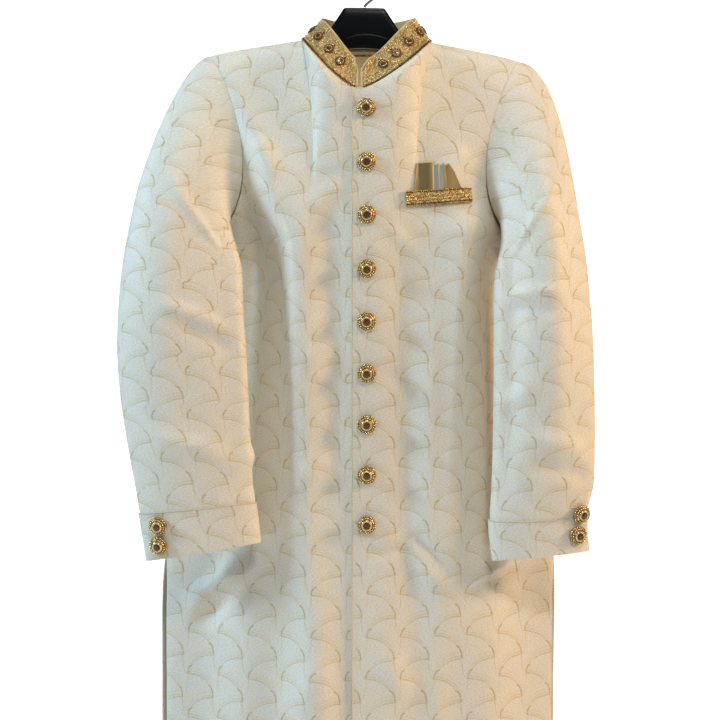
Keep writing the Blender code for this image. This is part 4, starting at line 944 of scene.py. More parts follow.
@lru_cache(maxsize=None)
def neck_seam():
    """The neck seam from the collar's left end, round the back, to its right end: the shares
    of each point on front and back, the points, the seam's length so far, the band's rising
    direction, and the mitre between the band and the panels."""
    start = math.asin(COLLAR_END_SHARE)
    end = -start
    quarter = math.pi / 2
    left = np.sin(np.linspace(start, quarter, NECK_STEPS))
    back = np.sin(np.linspace(quarter, -quarter, 2 * NECK_STEPS))[1:]
    right = np.sin(np.linspace(-quarter, end, NECK_STEPS))[1:]
    faces = ("front", "back", "front")
    shares = (left, back, right)
    ring = np.concatenate([np.stack(neckline(f, s), axis=-1) for f, s in zip(faces, shares)])
    cloth = np.concatenate([body_normals(f, s * NECK_COLUMN, 0.0) for f, s in zip(faces, shares)])
    length = np.concatenate([[0], np.cumsum(np.linalg.norm(np.diff(ring, axis=0), axis=1))])
    tangent = unit(np.gradient(ring, axis=0))
    inward = np.array([NECK_SHIFT, (NECK_FRONT_Y + NECK_BACK_Y) / 2, 0.0]) - ring
    inward[:, 2] = 0
    inward = unit(inward)
    # the band leans in more at the sides than behind, and its front ends stand upright
    behind = smooth((ring[:, 1] + 0.01) / 0.05)[:, None]
    lean = blend(COLLAR_LEAN["middle"], COLLAR_LEAN["side"], np.abs(inward[:, :1]))
    lean = blend(lean, COLLAR_LEAN["back"], behind)
    rising = inward * lean + np.array([COLLAR_LEAN_ACROSS, 0.0, 0.88])
    from_end = np.minimum(length, length[-1] - length)[:, None]
    upright = 1 - smooth(from_end / 0.05)
    rising = blend(rising, np.array([0.0, 0.30, 0.90]), upright)
    rising = rising - tangent * (rising * tangent).sum(1, keepdims=True) * (1 - upright)
    rising = unit(evened(rising))
    outward = unit(np.cross(tangent, rising))
    outward = outward * np.sign(-(outward * inward).sum(1, keepdims=True))
    mitre = unit(evened(unit(cloth + outward)))
    return np.concatenate(shares), ring, length, rising, mitre


def evened(values, reach=20):
    """Running means over a line of directions."""
    kernel = np.ones(2 * reach + 1) / (2 * reach + 1)
    padded = np.pad(values, ((reach, reach), (0, 0)), mode="edge")
    return np.stack([np.convolve(padded[:, i], kernel, "valid") for i in range(3)], axis=1)


def neck_mitre(face, share):
    """The mitre direction at a share of the front or back neckline."""
    shares, _, _, _, mitre = neck_seam()
    turn = NECK_STEPS - 1
    if face == "back":
        part = slice(turn, len(shares) - turn)
        order = np.argsort(shares[part])
        known, values = shares[part][order], mitre[part][order]
    else:
        last = len(shares) - turn
        known = np.concatenate([shares[last:], shares[: turn + 1]])
        values = np.concatenate([mitre[last:], mitre[: turn + 1]])
        order = np.argsort(known, kind="stable")
        known, values = known[order], values[order]
    return unit(np.stack([np.interp(share, known, values[:, i]) for i in range(3)], axis=-1))


def lowered(points):
    """Moves the top of some columns down, less and less from row to row."""
    steps = np.diff(points, axis=0)
    length = np.linalg.norm(steps, axis=-1, keepdims=True)
    down = np.concatenate([np.zeros_like(length[:1]), np.cumsum(length, axis=0)])
    way = unit(np.concatenate([steps, steps[-1:]]))
    return points + way * LAP_TOP_DROP * np.exp(-down / (2 * LAP_TOP_DROP))


print("neck seam length:", round(float(neck_seam()[2][-1]), 3), "m")

# %% [markdown]
# The body is cut as two fronts and two backs. The wearer's left front laps over the right
# one, which shows the slim edge down the middle. Below the hip the side seams are open.

# %% Fronts and backs
PANEL_HEAD_ROWS = 84
PANEL_LOW_ROWS = 175
PANEL_NECK_COLUMNS = 21
PANEL_SIDE_COLUMNS = 51
LAP_COLUMNS = 8


def panel_rows():
    head = np.linspace(0, 1, PANEL_HEAD_ROWS)
    low = np.linspace(1, 2, PANEL_LOW_ROWS + 1)[1:]
    return np.concatenate([blend(head, head**1.25, 0.5), low])


def panel_columns():
    neck = np.linspace(0, NECK_COLUMN, PANEL_NECK_COLUMNS)
    share = np.linspace(0, 1, PANEL_SIDE_COLUMNS + 1)[1:]
    return np.concatenate([neck, blend(NECK_COLUMN, 1.0, share)])


def body_uv(points, face, first):
    """Metres along the cloth: across from the middle, and up."""
    moves = np.diff(points[..., :2], axis=1)
    step = np.linalg.norm(moves, axis=-1) * np.sign(moves[..., 0])
    across = np.concatenate([np.zeros(points.shape[:1] + (1,)), np.cumsum(step, axis=1)], axis=1)
    across = across - across[:, first : first + 1]
    sense = 1.0 if face == "front" else -1.0
    return np.stack([sense * across, points[..., 2]], axis=-1)


def body_panel(name, face, side, start_x, figure_start):
    rows = panel_rows()
    columns = np.broadcast_to(side * panel_columns(), (len(rows), len(panel_columns())))
    lap = 0
    if start_x:
        lap = LAP_COLUMNS
        edge = column_at(face, start_x, rows)[:, None]
        columns = np.concatenate([edge * (1 - np.linspace(0, 1, lap + 1)[None, :-1]), columns], axis=1)
    rows = np.broadcast_to(rows[:, None], columns.shape)
    points = body_point(face, columns, rows)
    normals = body_normals(face, columns, rows)
    other = body_normals("back" if face == "front" else "front", columns, rows)
    on_shoulder = np.abs(columns[0]) >= NECK_COLUMN
    normals[0][on_shoulder] = unit(normals[0] + other[0])[on_shoulder]
    normals[0][~on_shoulder] = neck_mitre(face, columns[0] / NECK_COLUMN)[~on_shoulder]
    closed_seam = (rows[:, -1] >= 1.0) & (points[:, -1, 2] > SLIT_TOP_Z)
    normals[:, -1][closed_seam] = unit(normals[:, -1] + other[:, -1])[closed_seam]
    in_armhole = rows[:, -1] <= 1.0
    turn = (1 if face == "front" else -1) * math.pi * rows[in_armhole, -1]
    normals[in_armhole, -1] = armhole_normals(side, turn)[0]
    lift = crease_height(face, points[..., 0], points[..., 2])
    # the creases fade out at the side seam and the armhole
    lift = lift * (1 - smooth((np.abs(columns) - 0.80) / 0.20))
    if face == "front" and side > 0:
        points = points + lap_shift(points, normals)
    if face == "back":
        normals[:, 0, 0] = 0.0
        normals[:, 0] = unit(normals[:, 0])
    middle_gap = 0.0 if face == "front" else SEAM_GAP
    points = inset(points, left=middle_gap, right=SEAM_GAP, top=SEAM_GAP)
    if side < 0 and start_x:
        points[:, : lap + 4] = lowered(points[:, : lap + 4])
    uv = body_uv(points, face, lap) - np.array(figure_start)
    outer = points + normals * lift[..., None]
    piece = cloth_wall(name, outer, outer - normals * CLOTH, uv, (ivory_jacquard, lining))
    return piece, outer


outer_sheets = {}
for name, face, side, start_x, figure_start in (
    ("front_left", "front", 1.0, PLACKET_EDGE_X, (0.0459, -0.6645)),
    ("front_right", "front", -1.0, UNDERLAP_X, (0.0175, -0.6666)),
    ("back_left", "back", 1.0, 0.0, (0.0, -0.6645)),
    ("back_right", "back", -1.0, 0.0, (0.0, -0.6645)),
):
    piece, outer = body_panel(name + "_cloth", face, side, start_x, figure_start)
    outer_sheets[name] = outer
    wear(piece, "brocade", name)

# %% [markdown]
# Each sleeve is cut in two parts, as tailored sleeves are, with one seam in front and one
# behind. The figure is measured along the sleeve from its first hanging section, both ways,
# so that it doesn't stretch where the head fans out. The cuff is a band over the end.

# %% Sleeves and cuffs
HEAD_STEPS = 43
ARM_STEPS = 83
CUFF_STEPS = 15


def sleeve_angles(upper, count):
    """Turns at the armhole and at the cuff for one part of the sleeve."""
    back, front = SLEEVE_SEAMS_AT_CUFF
    high = (-SLEEVE_BACK_SEAM_ROW * math.pi, SLEEVE_FRONT_SEAM_ROW * math.pi)
    low = (back, front)
    if not upper:
        high = (high[1], high[0] + 2 * math.pi)
        low = (low[1], low[0] + 2 * math.pi)
    return np.linspace(*high, count), np.linspace(*low, count)


def sleeve_grid(side, upper, count=56):
    head, low = sleeve_angles(upper, count)
    top = cuff_top(side, low)
    first = np.linspace(0, 1, HEAD_STEPS + 1)[:, None] + np.zeros(count)
    arm = blend(1.0, top, np.linspace(0, 1, ARM_STEPS + 1)[1:, None])
    end = blend(top, 2.0, np.linspace(0, 1, CUFF_STEPS + 1)[1:, None])
    rows = np.concatenate([first, arm, end])
    return blend(head, low, smooth(rows / top)), rows


def sleeve_uv(side, angle, rows, points, start_row):
    """Metres along the cloth: round the sleeve from its front, and up."""
    step = np.linalg.norm(np.diff(points[..., :2], axis=1), axis=-1)
    round_it = np.concatenate([np.zeros(points.shape[:1] + (1,)), np.cumsum(step, axis=1)], axis=1)
    nearest = np.abs((angle - math.pi / 2 + math.pi) % (2 * math.pi) - math.pi).argmin(axis=1)
    round_it = round_it - round_it[np.arange(len(rows)), nearest][:, None]
    down = np.linalg.norm(np.diff(points, axis=0), axis=-1)
    down = np.concatenate([np.zeros((1,) + down.shape[1:]), np.cumsum(down, axis=0)], axis=0)
    down = down - down[start_row]
    return np.stack([-side * round_it, points[start_row, :, 2] - down], axis=-1)


def sleeve_part(name, side, upper, figure_start):
    angle, rows = sleeve_grid(side, upper)
    points = sleeve_point(side, angle, rows)
    normals = sleeve_normals(side, angle, rows)
    normals[0] = armhole_normals(side, angle[0])[1]
    lift = sleeve_crease(side, angle % (2 * math.pi), rows)
    edge = np.minimum(np.arange(angle.shape[1]), np.arange(angle.shape[1])[::-1])
    lift = lift * smooth(edge / 6) * smooth((cuff_top(side, angle[-1]) - rows) / 0.08)
    uv = sleeve_uv(side, angle, rows, points, HEAD_STEPS) - np.array(figure_start)
    outer = inset(points, left=2 * SEAM_GAP, right=2 * SEAM_GAP, top=SEAM_GAP)
    outer = outer + normals * lift[..., None]
    return cloth_wall(name, outer, outer - normals * CLOTH, uv, (ivory_jacquard, lining)), outer


def cuff_band(name, side, figure_start):
    grids = [sleeve_grid(side, upper) for upper in (True, False)]
    start = HEAD_STEPS + ARM_STEPS
    angle, rows = (np.concatenate([g[i][start:, :-1] for g in grids], axis=1) for i in (0, 1))
    points = sleeve_point(side, angle, rows)
    normals = sleeve_normals(side, angle, rows)
    inner = points + normals * LAY_GAP
    outer = inner + normals * CUFF_WALL
    uv = sleeve_uv(side, angle, rows, points, 0) - np.array(figure_start)
    return cloth_wall(name, outer, inner, uv, (ivory_jacquard,), closed=True), outer


for side in (1.0, -1.0):
    name = side_name(side)
    start = (0.012, -0.6645) if side > 0 else (0.026, -0.6582)
    for part_name, upper in ((f"top_sleeve_{name}", True), (f"under_sleeve_{name}", False)):
        piece, outer = sleeve_part(part_name + "_cloth", side, upper, start)
        wear(piece, "brocade", part_name)
    piece, outer = cuff_band(f"cuff_{name}_band", side, (start[0], start[1] + 0.02))
    outer_sheets["cuff_" + name] = outer
    wear(piece, "brocade", f"cuff_{name}")

# %% [markdown]
# The collar and the pocket's band are worked all over in gold: couched metal thread, with
# small beads between. The thread itself is too fine to model, so the material gives its
# ribs, and real beads are scattered over it. Metal thread is a thin foil round a silk core,
# so it is only partly metallic.

# %% Gold work materials
def gold_work(name, light, dark):
    """Couched metal thread: grains of light and dark, crossed by short ribs."""
    material, tree, shader = new_material(name, light, 0.36, Metallic=0.35, Specular_IOR_Level=0.5)
    place = add(tree, "ShaderNodeUVMap", uv_map="cloth")
    grains = add(tree, "ShaderNodeTexVoronoi", {"Vector": place.outputs[0], "Scale": 560.0})
    apart = add(tree, "ShaderNodeSeparateColor", {0: grains.outputs["Color"]})
    ripple = {"Vector": place.outputs[0], "Scale": 170.0, "Distortion": 5.0, "Detail": 1.0}
    rib = add(tree, "ShaderNodeTexWave", ripple, wave_profile="SIN")
    grain = maths(tree, "MULTIPLY", apart.outputs[0], 0.75)
    work = maths(tree, "MULTIPLY_ADD", rib.outputs[1], 0.35, grain)
    colour = mixed(tree, ranged(tree, work, 0.22, 0.80, 0.0, 1.0), linear(dark), linear(light))
    tree.links.new(colour, shader.inputs["Base Color"])
    relief(tree, shader, maths(tree, "MULTIPLY_ADD", grains.outputs[0], -0.7, work), 0.0009, 0.9)
    return material


def plain_finish(name, colour, roughness, scale, depth, **sockets):
    """A finish with only a fine unevenness in its surface."""
    material, tree, shader = new_material(name, colour, roughness, **sockets)
    place = add(tree, "ShaderNodeTexCoord")
    uneven = noise(tree, place.outputs["Object"], scale, 2.0)
    relief(tree, shader, uneven, depth, 0.6)
    value = ranged(tree, uneven, 0.3, 0.7, 0.86, 1.12)
    varied = add(tree, "ShaderNodeHueSaturation", {"Color": linear(colour), "Value": value})
    tree.links.new(varied.outputs[0], shader.inputs["Base Color"])
    return material


gold_thread = gold_work("couched gold thread", "#EACB82", "#6E4A1E")
gold_bead = plain_finish("gold plated beads", "#EFD79C", 0.24, 900.0, 0.0002, Metallic=0.85)
dark_bead = plain_finish("antique copper beads", "#6A3415", 0.30, 900.0, 0.0002, Metallic=0.4)
bronze = plain_finish("antique bronze shell", "#8C6430", 0.34, 900.0, 0.0002, Metallic=0.7)
cream_cord = plain_finish("cream silk piping", "#CDB47E", 0.48, 1500.0, 0.0003, Sheen_Weight=0.2)
amber_stone = plain_finish("cut amber glass", "#5C3612", 0.08, 300.0, 0.0001, Specular_IOR_Level=0.7)
print("gold work:", [m.name for m in (gold_thread, gold_bead, dark_bead, cream_cord, amber_stone)])

# %% [markdown]
# A row of beads is a path with one bead at each step. Geometry Nodes are made for this:
# they resample the path, put a bead on every point, and turn the copies into one
# mesh. The sizes are named inputs, so the same small tree serves every row.

# %% Bead rows with Geometry Nodes
def new_tree(name, sizes, counts=()):
    """A tree whose sizes, counts and material are named inputs."""
    tree = bpy.data.node_groups.new(name, "GeometryNodeTree")
    kinds = {"Geometry": "NodeSocketGeometry"}
    kinds.update((label, "NodeSocketFloat") for label in sizes)
    kinds.update((label, "NodeSocketInt") for label in counts)
    kinds["Material"] = "NodeSocketMaterial"
    for label, kind in kinds.items():
        tree.interface.new_socket(label, in_out="INPUT", socket_type=kind)
    tree.interface.new_socket("Geometry", in_out="OUTPUT", socket_type="NodeSocketGeometry")
    return tree, add(tree, "NodeGroupInput").outputs


def bead_shape(tree, radius):
    ball = add(tree, "GeometryNodeMeshUVSphere", {"Segments": 6, "Rings": 4, "Radius": radius})
    return add(tree, "GeometryNodeSetShadeSmooth", {"Geometry": ball.outputs[0]}).outputs[0]


def copies(tree, points, shape, material, **more):
    """A copy of the shape on each point, made real geometry with its material."""
    row = add(tree, "GeometryNodeInstanceOnPoints", {"Points": points, "Instance": shape, **more})
    real = add(tree, "GeometryNodeRealizeInstances", {0: row.outputs[0]})
    inputs = {"Geometry": real.outputs[0], "Material": material}
    return add(tree, "GeometryNodeSetMaterial", inputs).outputs[0]


def bead_row_tree():
    tree, given = new_tree("bead row", ("Spacing", "Bead radius"))
    steps = {"Curve": given["Geometry"], "Length": given["Spacing"]}
    path = add(tree, "GeometryNodeResampleCurve", steps, mode="LENGTH")
    bead = bead_shape(tree, given["Bead radius"])
    beads = copies(tree, path.outputs[0], bead, given["Material"])
    add(tree, "NodeGroupOutput", {0: beads})
    return tree


def scatter_tree():
    tree, given = new_tree("scattered beads", ("Distance", "Bead radius"), ("Seed",))
    spread = {
        "Mesh": given["Geometry"],
        "Distance Min": given["Distance"],
        "Density Max": 400000.0,
        "Seed": given["Seed"],
    }
    kind = "GeometryNodeDistributePointsOnFaces"
    spots = add(tree, kind, spread, distribute_method="POISSON")
    span = {2: 0.75, 3: 1.2, "Seed": given["Seed"]}
    size = add(tree, "FunctionNodeRandomValue", span, data_type="FLOAT")
    bead = bead_shape(tree, given["Bead radius"])
    beads = copies(tree, spots.outputs[0], bead, given["Material"], Scale=size.outputs[1])
    add(tree, "NodeGroupOutput", {0: beads})
    return tree


def run_tree(source, tree, values, name):
    """The tree's result as a plain mesh object, and the source is removed."""
    modifier = source.modifiers.new("nodes", "NODES")
    modifier.node_group = tree
    for item in tree.interface.items_tree:
        if item.in_out == "INPUT" and item.name in values:
            modifier[item.identifier] = values[item.name]
    source.update_tag()
    graph = bpy.context.evaluated_depsgraph_get()
    mesh = bpy.data.meshes.new_from_object(source.evaluated_get(graph), depsgraph=graph)
    mesh.name = name
    source.modifiers.remove(modifier)
    bpy.data.objects.remove(source)
    return linked(name, mesh)


def paths_object(name, paths):
    """Open or closed paths as one curve object."""
    curve = bpy.data.curves.new(name, "CURVE")
    curve.dimensions = "3D"
    for points, cyclic in paths:
        points = hang(np.asarray(points))
        spline = curve.splines.new("POLY")
        spline.points.add(len(points) - 1)
        spots = np.concatenate([points, np.ones((len(points), 1))], axis=1)
        spline.points.foreach_set("co", spots.ravel())
        spline.use_cyclic_u = cyclic
    return linked(name, curve)


bead_row = bead_row_tree()
scatter = scatter_tree()


def bead_rows(name, paths, spacing, radius, material):
    """Rows of beads along open paths."""
    values = {"Spacing": spacing, "Bead radius": radius, "Material": material}
    source = paths_object(name + "_path", [(path, False) for path in paths])
    piece = run_tree(source, bead_row, values, name)
    wear(piece, "embroidery")
    print(f"{name}: {len(piece.data.polygons)} faces")


def ring_faces(count, around):
    """Quads between rings that have this many points around."""
    steps = list(zip(range(around), [*range(1, around), 0]))
    return [
        [i * around + k, i * around + m, (i + 1) * around + m, (i + 1) * around + k]
        for i in range(count - 1)
        for k, m in steps
    ]


def ringed_mesh(name, rings, ends, material):
    """Rings along a path joined by faces, and closed by a point at each end."""
    count, around = rings.shape[:2]
    faces = ring_faces(count, around)
    last = (count - 1) * around
    for k, m in zip(range(around), [*range(1, around), 0]):
        faces += [[m, k, count * around], [last + k, last + m, count * around + 1]]
    mesh = bpy.data.meshes.new(name)
    mesh.from_pydata(np.concatenate([rings.reshape(-1, 3), ends]).tolist(), [], faces)
    mesh.materials.append(material)
    mesh.shade_smooth()
    mesh.update()
    return mesh


def tube(name, points, radius, material, sides=10):
    """A round cord along a path, with rounded ends."""
    points = hang(np.asarray(points, float))
    tangent = unit(np.gradient(points, axis=0))
    up = np.array([0.0, -1.0, 0.0])
    side = unit(np.cross(tangent, up))
    up = np.cross(side, tangent)
    turn = np.linspace(0, 2 * math.pi, sides, endpoint=False)
    sizes = np.full(len(points), radius)
    sizes[0] = sizes[-1] = radius * 0.45
    rings = points[:, None] + sizes[:, None, None] * (
        side[:, None] * np.cos(turn)[None, :, None] + up[:, None] * np.sin(turn)[None, :, None]
    )
    mesh = ringed_mesh(name, rings, points[[0, -1]], material)
    middle = (points[0] + points[1]) / 2
    if sum(float(np.dot(p.normal, np.array(p.center) - middle)) for p in mesh.polygons[:sides]) < 0:
        mesh.flip_normals()
    return linked(name, mesh)


print("bead tree inputs:", [i.name for i in bead_row.interface.items_tree])

# %% [markdown]
# The overlapping front and the cuffs end in a turned edge, with a row of small topstitches
# beside it. The stitch tree turns each stitch along its path: Curve to Points hands
# on the path's direction as a rotation.

# %% Turned edges and topstitching
def stitch_tree():
    tree, given = new_tree("row of stitches", ("Spacing", "Thread radius"))
    steps = {"Curve": given["Geometry"], "Length": given["Spacing"]}
    spots = add(tree, "GeometryNodeCurveToPoints", steps, mode="LENGTH").outputs
    stitch = {"Geometry": bead_shape(tree, given["Thread radius"]), "Scale": (1.0, 1.0, 3.4)}
    shape = add(tree, "GeometryNodeTransform", stitch).outputs[0]
    turned_by = spots["Rotation"]
    row = copies(tree, spots["Points"], shape, given["Material"], Rotation=turned_by)
    add(tree, "NodeGroupOutput", {0: row})
    return tree


stitch_row = stitch_tree()
turned_edge = plain_finish("turned ivory edge", "#D6C9AA", 0.55, 1200.0, 0.0002, Sheen_Weight=0.2)
silk_thread = plain_finish("ivory sewing thread", "#E6DCC2", 0.45, 2000.0, 0.0001)
STITCH_LIFT = 0.0002


def edged(name, edge, radius, seam, closed=False):
    """A turned edge along one path, and topstitches along another."""
    wear(tube(name + "_turned_edge", edge, radius, turned_edge, sides=8), "brocade")
    values = {"Spacing": 0.0034, "Thread radius": 0.00035, "Material": silk_thread}
    source = paths_object(name + "_path", [(seam, closed)])
    piece = run_tree(source, stitch_row, values, name + "_stitches")
    wear(piece, "brocade")
    print(f"{piece.name}: {len(piece.data.polygons)} faces")


front = outer_sheets["front_left"][1:-1]
edged("placket", front[:, 0] + [0.0002, 0.0004, 0.0], 0.0010, front[:, 3] - [0.0, STITCH_LIFT, 0.0])
for name in ("left", "right"):
    band = outer_sheets["cuff_" + name]
    out = unit(band[1] - band[1].mean(axis=0))
    top = np.concatenate([band[0], band[0][:1]])
    edged(f"cuff_{name}", top, 0.0009, band[1] + out * STITCH_LIFT, closed=True)

# %% [markdown]
# The stand collar is stiffened, so its two front ends stand up beside a narrow gap, with
# their top corners cut round. Cream piping runs along its free edge, rows of beads along
# all four sides, and raised round motifs with a dark stone march along the middle.

# %% The collar's band
COLLAR_ROWS = 40
END_POINTS = 13


def collar_height(from_end):
    share = np.clip(from_end / COLLAR_CORNER, 0.0, 1.0)
    return blend(COLLAR_END_HEIGHT, COLLAR_HEIGHT, np.sqrt(1 - (1 - share) ** 2))


def collar_grid(stations, shares):
    """Outer points and outward normals of the band at seam lengths and height shares."""
    _, ring, length, rising, mitre = neck_seam()
    base, rise, low = (
        np.stack([np.interp(stations, length, line[:, i]) for i in range(3)], axis=1)
        for line in (ring, rising, mitre)
    )
    height = collar_height(np.minimum(stations, length[-1] - stations))
    up = SEAM_GAP * 2 + (height - SEAM_GAP * 2)[None, :] * np.asarray(shares)[:, None]
    points = base[None] + unit(rise)[None] * up[..., None]
    normals = -normals_of(points)
    normals[0] = unit(low)
    return points, normals


def even_ends(total, count, tight):
    """Stations along the collar, closer together at its round corners."""
    share = np.linspace(0, 1, count)
    ends = np.sin((share - 0.5) * math.pi) / 2 + 0.5
    return total * blend(share, ends, tight)


collar_length = float(neck_seam()[2][-1])
stations = even_ends(collar_length, 321, 0.8)
band, band_normals = collar_grid(stations, np.linspace(0, 1, 21))
band_uv = np.stack(
    np.broadcast_arrays(stations[None, :], np.linspace(0, COLLAR_HEIGHT, 21)[:, None]), axis=-1
)
collar_band = cloth_wall(
    "collar_band", band, band - band_normals * COLLAR_WALL, band_uv, (gold_thread, cream_cord)
)
wear(collar_band, "embroidery", "collar")


def on_collar(stations, heights, lift):
    """Points on the collar at seam lengths and heights above the seam."""
    stations = np.asarray(stations, float)
    tall = collar_height(np.minimum(stations, collar_length - stations))
    shares = np.clip(np.broadcast_to(heights, stations.shape) / tall, 0, 1)
    points, normals = collar_grid(stations, np.linspace(0, 1, COLLAR_ROWS + 1))
    place = shares * COLLAR_ROWS
    low = np.clip(place.astype(int), 0, COLLAR_ROWS - 1)
    part = (place - low)[:, None]
    k = np.arange(len(stations))
    spot = blend(points[low, k], points[low + 1, k], part)
    facing = unit(blend(normals[low, k], normals[low + 1, k], part))
    return spot + facing * lift, facing


def free_edge(inset_by, lift, low=0.0):
    """The path up one front end, along the top, and down the other end."""
    s = even_ends(collar_length, 241, 0.9)
    s = inset_by + (collar_length - 2 * inset_by) * s / collar_length
    tall = collar_height(np.minimum(s, collar_length - s))
    top = on_collar(s, tall - inset_by, lift)[0]
    rise = np.linspace(low, 1, END_POINTS + 1)[:-1] * (tall[0] - inset_by)
    left = on_collar(np.full(END_POINTS, s[0]), rise, lift)[0]
    right = on_collar(np.full(END_POINTS, s[-1]), rise[::-1], lift)[0]
    return np.concatenate([left, top, right])


def along_base(inset_by, height):
    """A path along the collar's lower edge."""
    stations = np.linspace(inset_by, collar_length - inset_by, 300)
    return on_collar(stations, height, 0.0006)[0]


wear(tube("collar_piping", free_edge(0.0002, -0.0010, 0.06), 0.00135, cream_cord), "embroidery")
bead_rows("collar_dark_beads", [along_base(0.004, 0.0024)], 0.0028, 0.00115, dark_bead)
bead_rows("collar_base_beads", [along_base(0.005, 0.0052)], 0.0028, 0.00110, gold_bead)
edge_paths = [free_edge(inset_by, 0.0005, 0.12) for inset_by in (0.0034, 0.0060)]
bead_rows("collar_gold_beads", edge_paths, 0.0026, 0.00095, gold_bead)
print("collar length along the seam:", round(collar_length, 3))

# %% [markdown]
# The little beads between the motifs lie anywhere, but never on top of each other. Poisson
# scattering with a fixed seed gives that look and repeats exactly on each run.

# %% Beads scattered over the collar
def scattered(name, sheet_points, distance, radius, seed, material):
    rows, columns = sheet_points.shape[:2]
    grid = np.arange(rows * columns).reshape(rows, columns)
    faces = np.stack([grid[:-1, :-1], grid[1:, :-1], grid[1:, 1:], grid[:-1, 1:]], axis=-1).reshape(-1, 4)
    source = mesh_object(name + "_sheet", hang(sheet_points.reshape(-1, 3)), faces, ())
    values = {"Distance": distance, "Bead radius": radius, "Seed": seed, "Material": material}
    piece = run_tree(source, scatter, values, name)
    wear(piece, "embroidery")
    print(f"{name}: {len(piece.data.polygons)} faces")


inner_part = band[4:-3, 14:-14] + band_normals[4:-3, 14:-14] * 0.0002
scattered("collar_scattered_beads", inner_part, 0.0030, 0.00100, 3, gold_bead)

# %% [markdown]
# Buttons and motifs share one recipe: a turned shell, a ring or two of beads, and a cut
# stone. The shell and the stone are turned from a short profile, as on a lathe, and the
# rings are placed by Geometry Nodes on a circle. One master is made for each kind, and a
# copy of its mesh is moved to each place.

# %% Turned shells and bead rings
def turned(profile, sides):
    """Rings of a turned shape, and its faces."""
    vertices = []
    for radius, height in profile:
        for k in range(sides):
            turn = 2 * math.pi * k / sides
            vertices.append((radius * math.cos(turn), radius * math.sin(turn), height))
    faces = ring_faces(len(profile), sides)
    faces.append(list(range(sides))[::-1])
    faces.append([(len(profile) - 1) * sides + k for k in range(sides)])
    return vertices, faces


def ring_tree():
    tree, given = new_tree("ring of beads", ("Ring radius", "Height", "Bead radius"), ("Beads",))
    sizes = {"Vertices": given["Beads"], "Radius": given["Ring radius"]}
    circle = add(tree, "GeometryNodeMeshCircle", sizes)
    raised = add(tree, "ShaderNodeCombineXYZ", {"Z": given["Height"]})
    offset = {"Geometry": circle.outputs[0], "Offset": raised.outputs[0]}
    moved = add(tree, "GeometryNodeSetPosition", offset)
    bead = bead_shape(tree, given["Bead radius"])
    beads = copies(tree, moved.outputs[0], bead, given["Material"])
    joined = add(tree, "GeometryNodeJoinGeometry", {0: beads})
    tree.links.new(given["Geometry"], joined.inputs[0])
    add(tree, "NodeGroupOutput", {0: joined.outputs[0]})
    return tree


ring = ring_tree()


def jewelled(name, shells, rings):
    """A master mesh: turned shells with their materials, and rings of beads."""
    vertices, faces, slots, flat, materials = [], [], [], [], []
    for profile, sides, material, facets in shells:
        more, extra = turned(profile, sides)
        faces += [[len(vertices) + i for i in face] for face in extra]
        vertices += more
        materials.append(material)
        slots += [len(materials) - 1] * len(extra)
        flat += [facets] * len(extra)
    mesh = bpy.data.meshes.new(name)
    mesh.from_pydata(vertices, [], faces)
    for material in materials:
        mesh.materials.append(material)
    mesh.polygons.foreach_set("material_index", slots)
    mesh.polygons.foreach_set("use_smooth", [not facets for facets in flat])
    mesh.update()
    master = linked(name, mesh)
    labels = ("Beads", "Ring radius", "Height", "Bead radius", "Material")
    for values in rings:
        master = run_tree(master, ring, dict(zip(labels, values)), name)
    mesh = master.data
    bpy.data.objects.remove(master)
    return mesh


def placed(name, master, point, normal, up=(0.0, 0.0, 1.0), droop=0.0):
    """A copy of a master's mesh at a point, facing along the normal."""
    point = hang(np.asarray(point, float))
    side = unit(np.cross(up, normal))
    top = unit(np.cross(normal, side))
    facing = unit(normal * math.cos(droop) - top * math.sin(droop))
    top = unit(np.cross(facing, side))
    mesh = master.copy()
    mesh.name = name
    co = np.zeros(len(mesh.vertices) * 3)
    mesh.vertices.foreach_get("co", co)
    co = co.reshape(-1, 3)
    moved = point + co[:, :1] * side + co[:, 1:2] * top + co[:, 2:] * facing
    mesh.vertices.foreach_set("co", moved.ravel())
    mesh.update()
    return linked(name, mesh)


SHELL = (
    (0.0088, 0.0), (0.0118, 0.0008), (0.0129, 0.0022), (0.0128, 0.0036), (0.0119, 0.0048),
    (0.0102, 0.0058), (0.0088, 0.0070), (0.0078, 0.0084), (0.0066, 0.0090), (0.0050, 0.0090),
)
COLLET = ((0.0078, 0.0078), (0.0073, 0.0096), (0.0062, 0.0104), (0.0050, 0.0096))
STONE = ((0.0050, 0.0084), (0.0049, 0.0100), (0.0034, 0.0116), (0.0018, 0.0118))
button_mesh = jewelled(
    "button_master",
    ((SHELL, 32, bronze, False), (COLLET, 28, gold_bead, False), (STONE, 8, amber_stone, True)),
    (
        (24, 0.0121, 0.0046, 0.00120, gold_bead),
        (18, 0.0096, 0.0072, 0.00140, gold_bead),
        (14, 0.0063, 0.0105, 0.00080, cream_cord),
    ),
)
print("button master:", len(button_mesh.polygons), "faces")

# %% [markdown]
# The front's buttons sit on the overlapping edge, each on the highest cloth beneath it, and
# droop a little from their shanks. Two more close each cuff.

# %% Front and cuff buttons
BUTTON_COUNT = 9
BUTTON_X = 0.0030
BUTTON_TOP_Z = -0.2009
BUTTON_PITCH = 0.0751
BUTTON_PITCH_EASE = 0.00042
BUTTON_GAP = 0.0004
# Cuff buttons: turn round the sleeve in degrees, and height above the sleeve's end
CUFF_BUTTONS = {"right": ((43, 0.0470), (40, 0.0200)), "left": ((32, 0.0540), (37, 0.0250))}


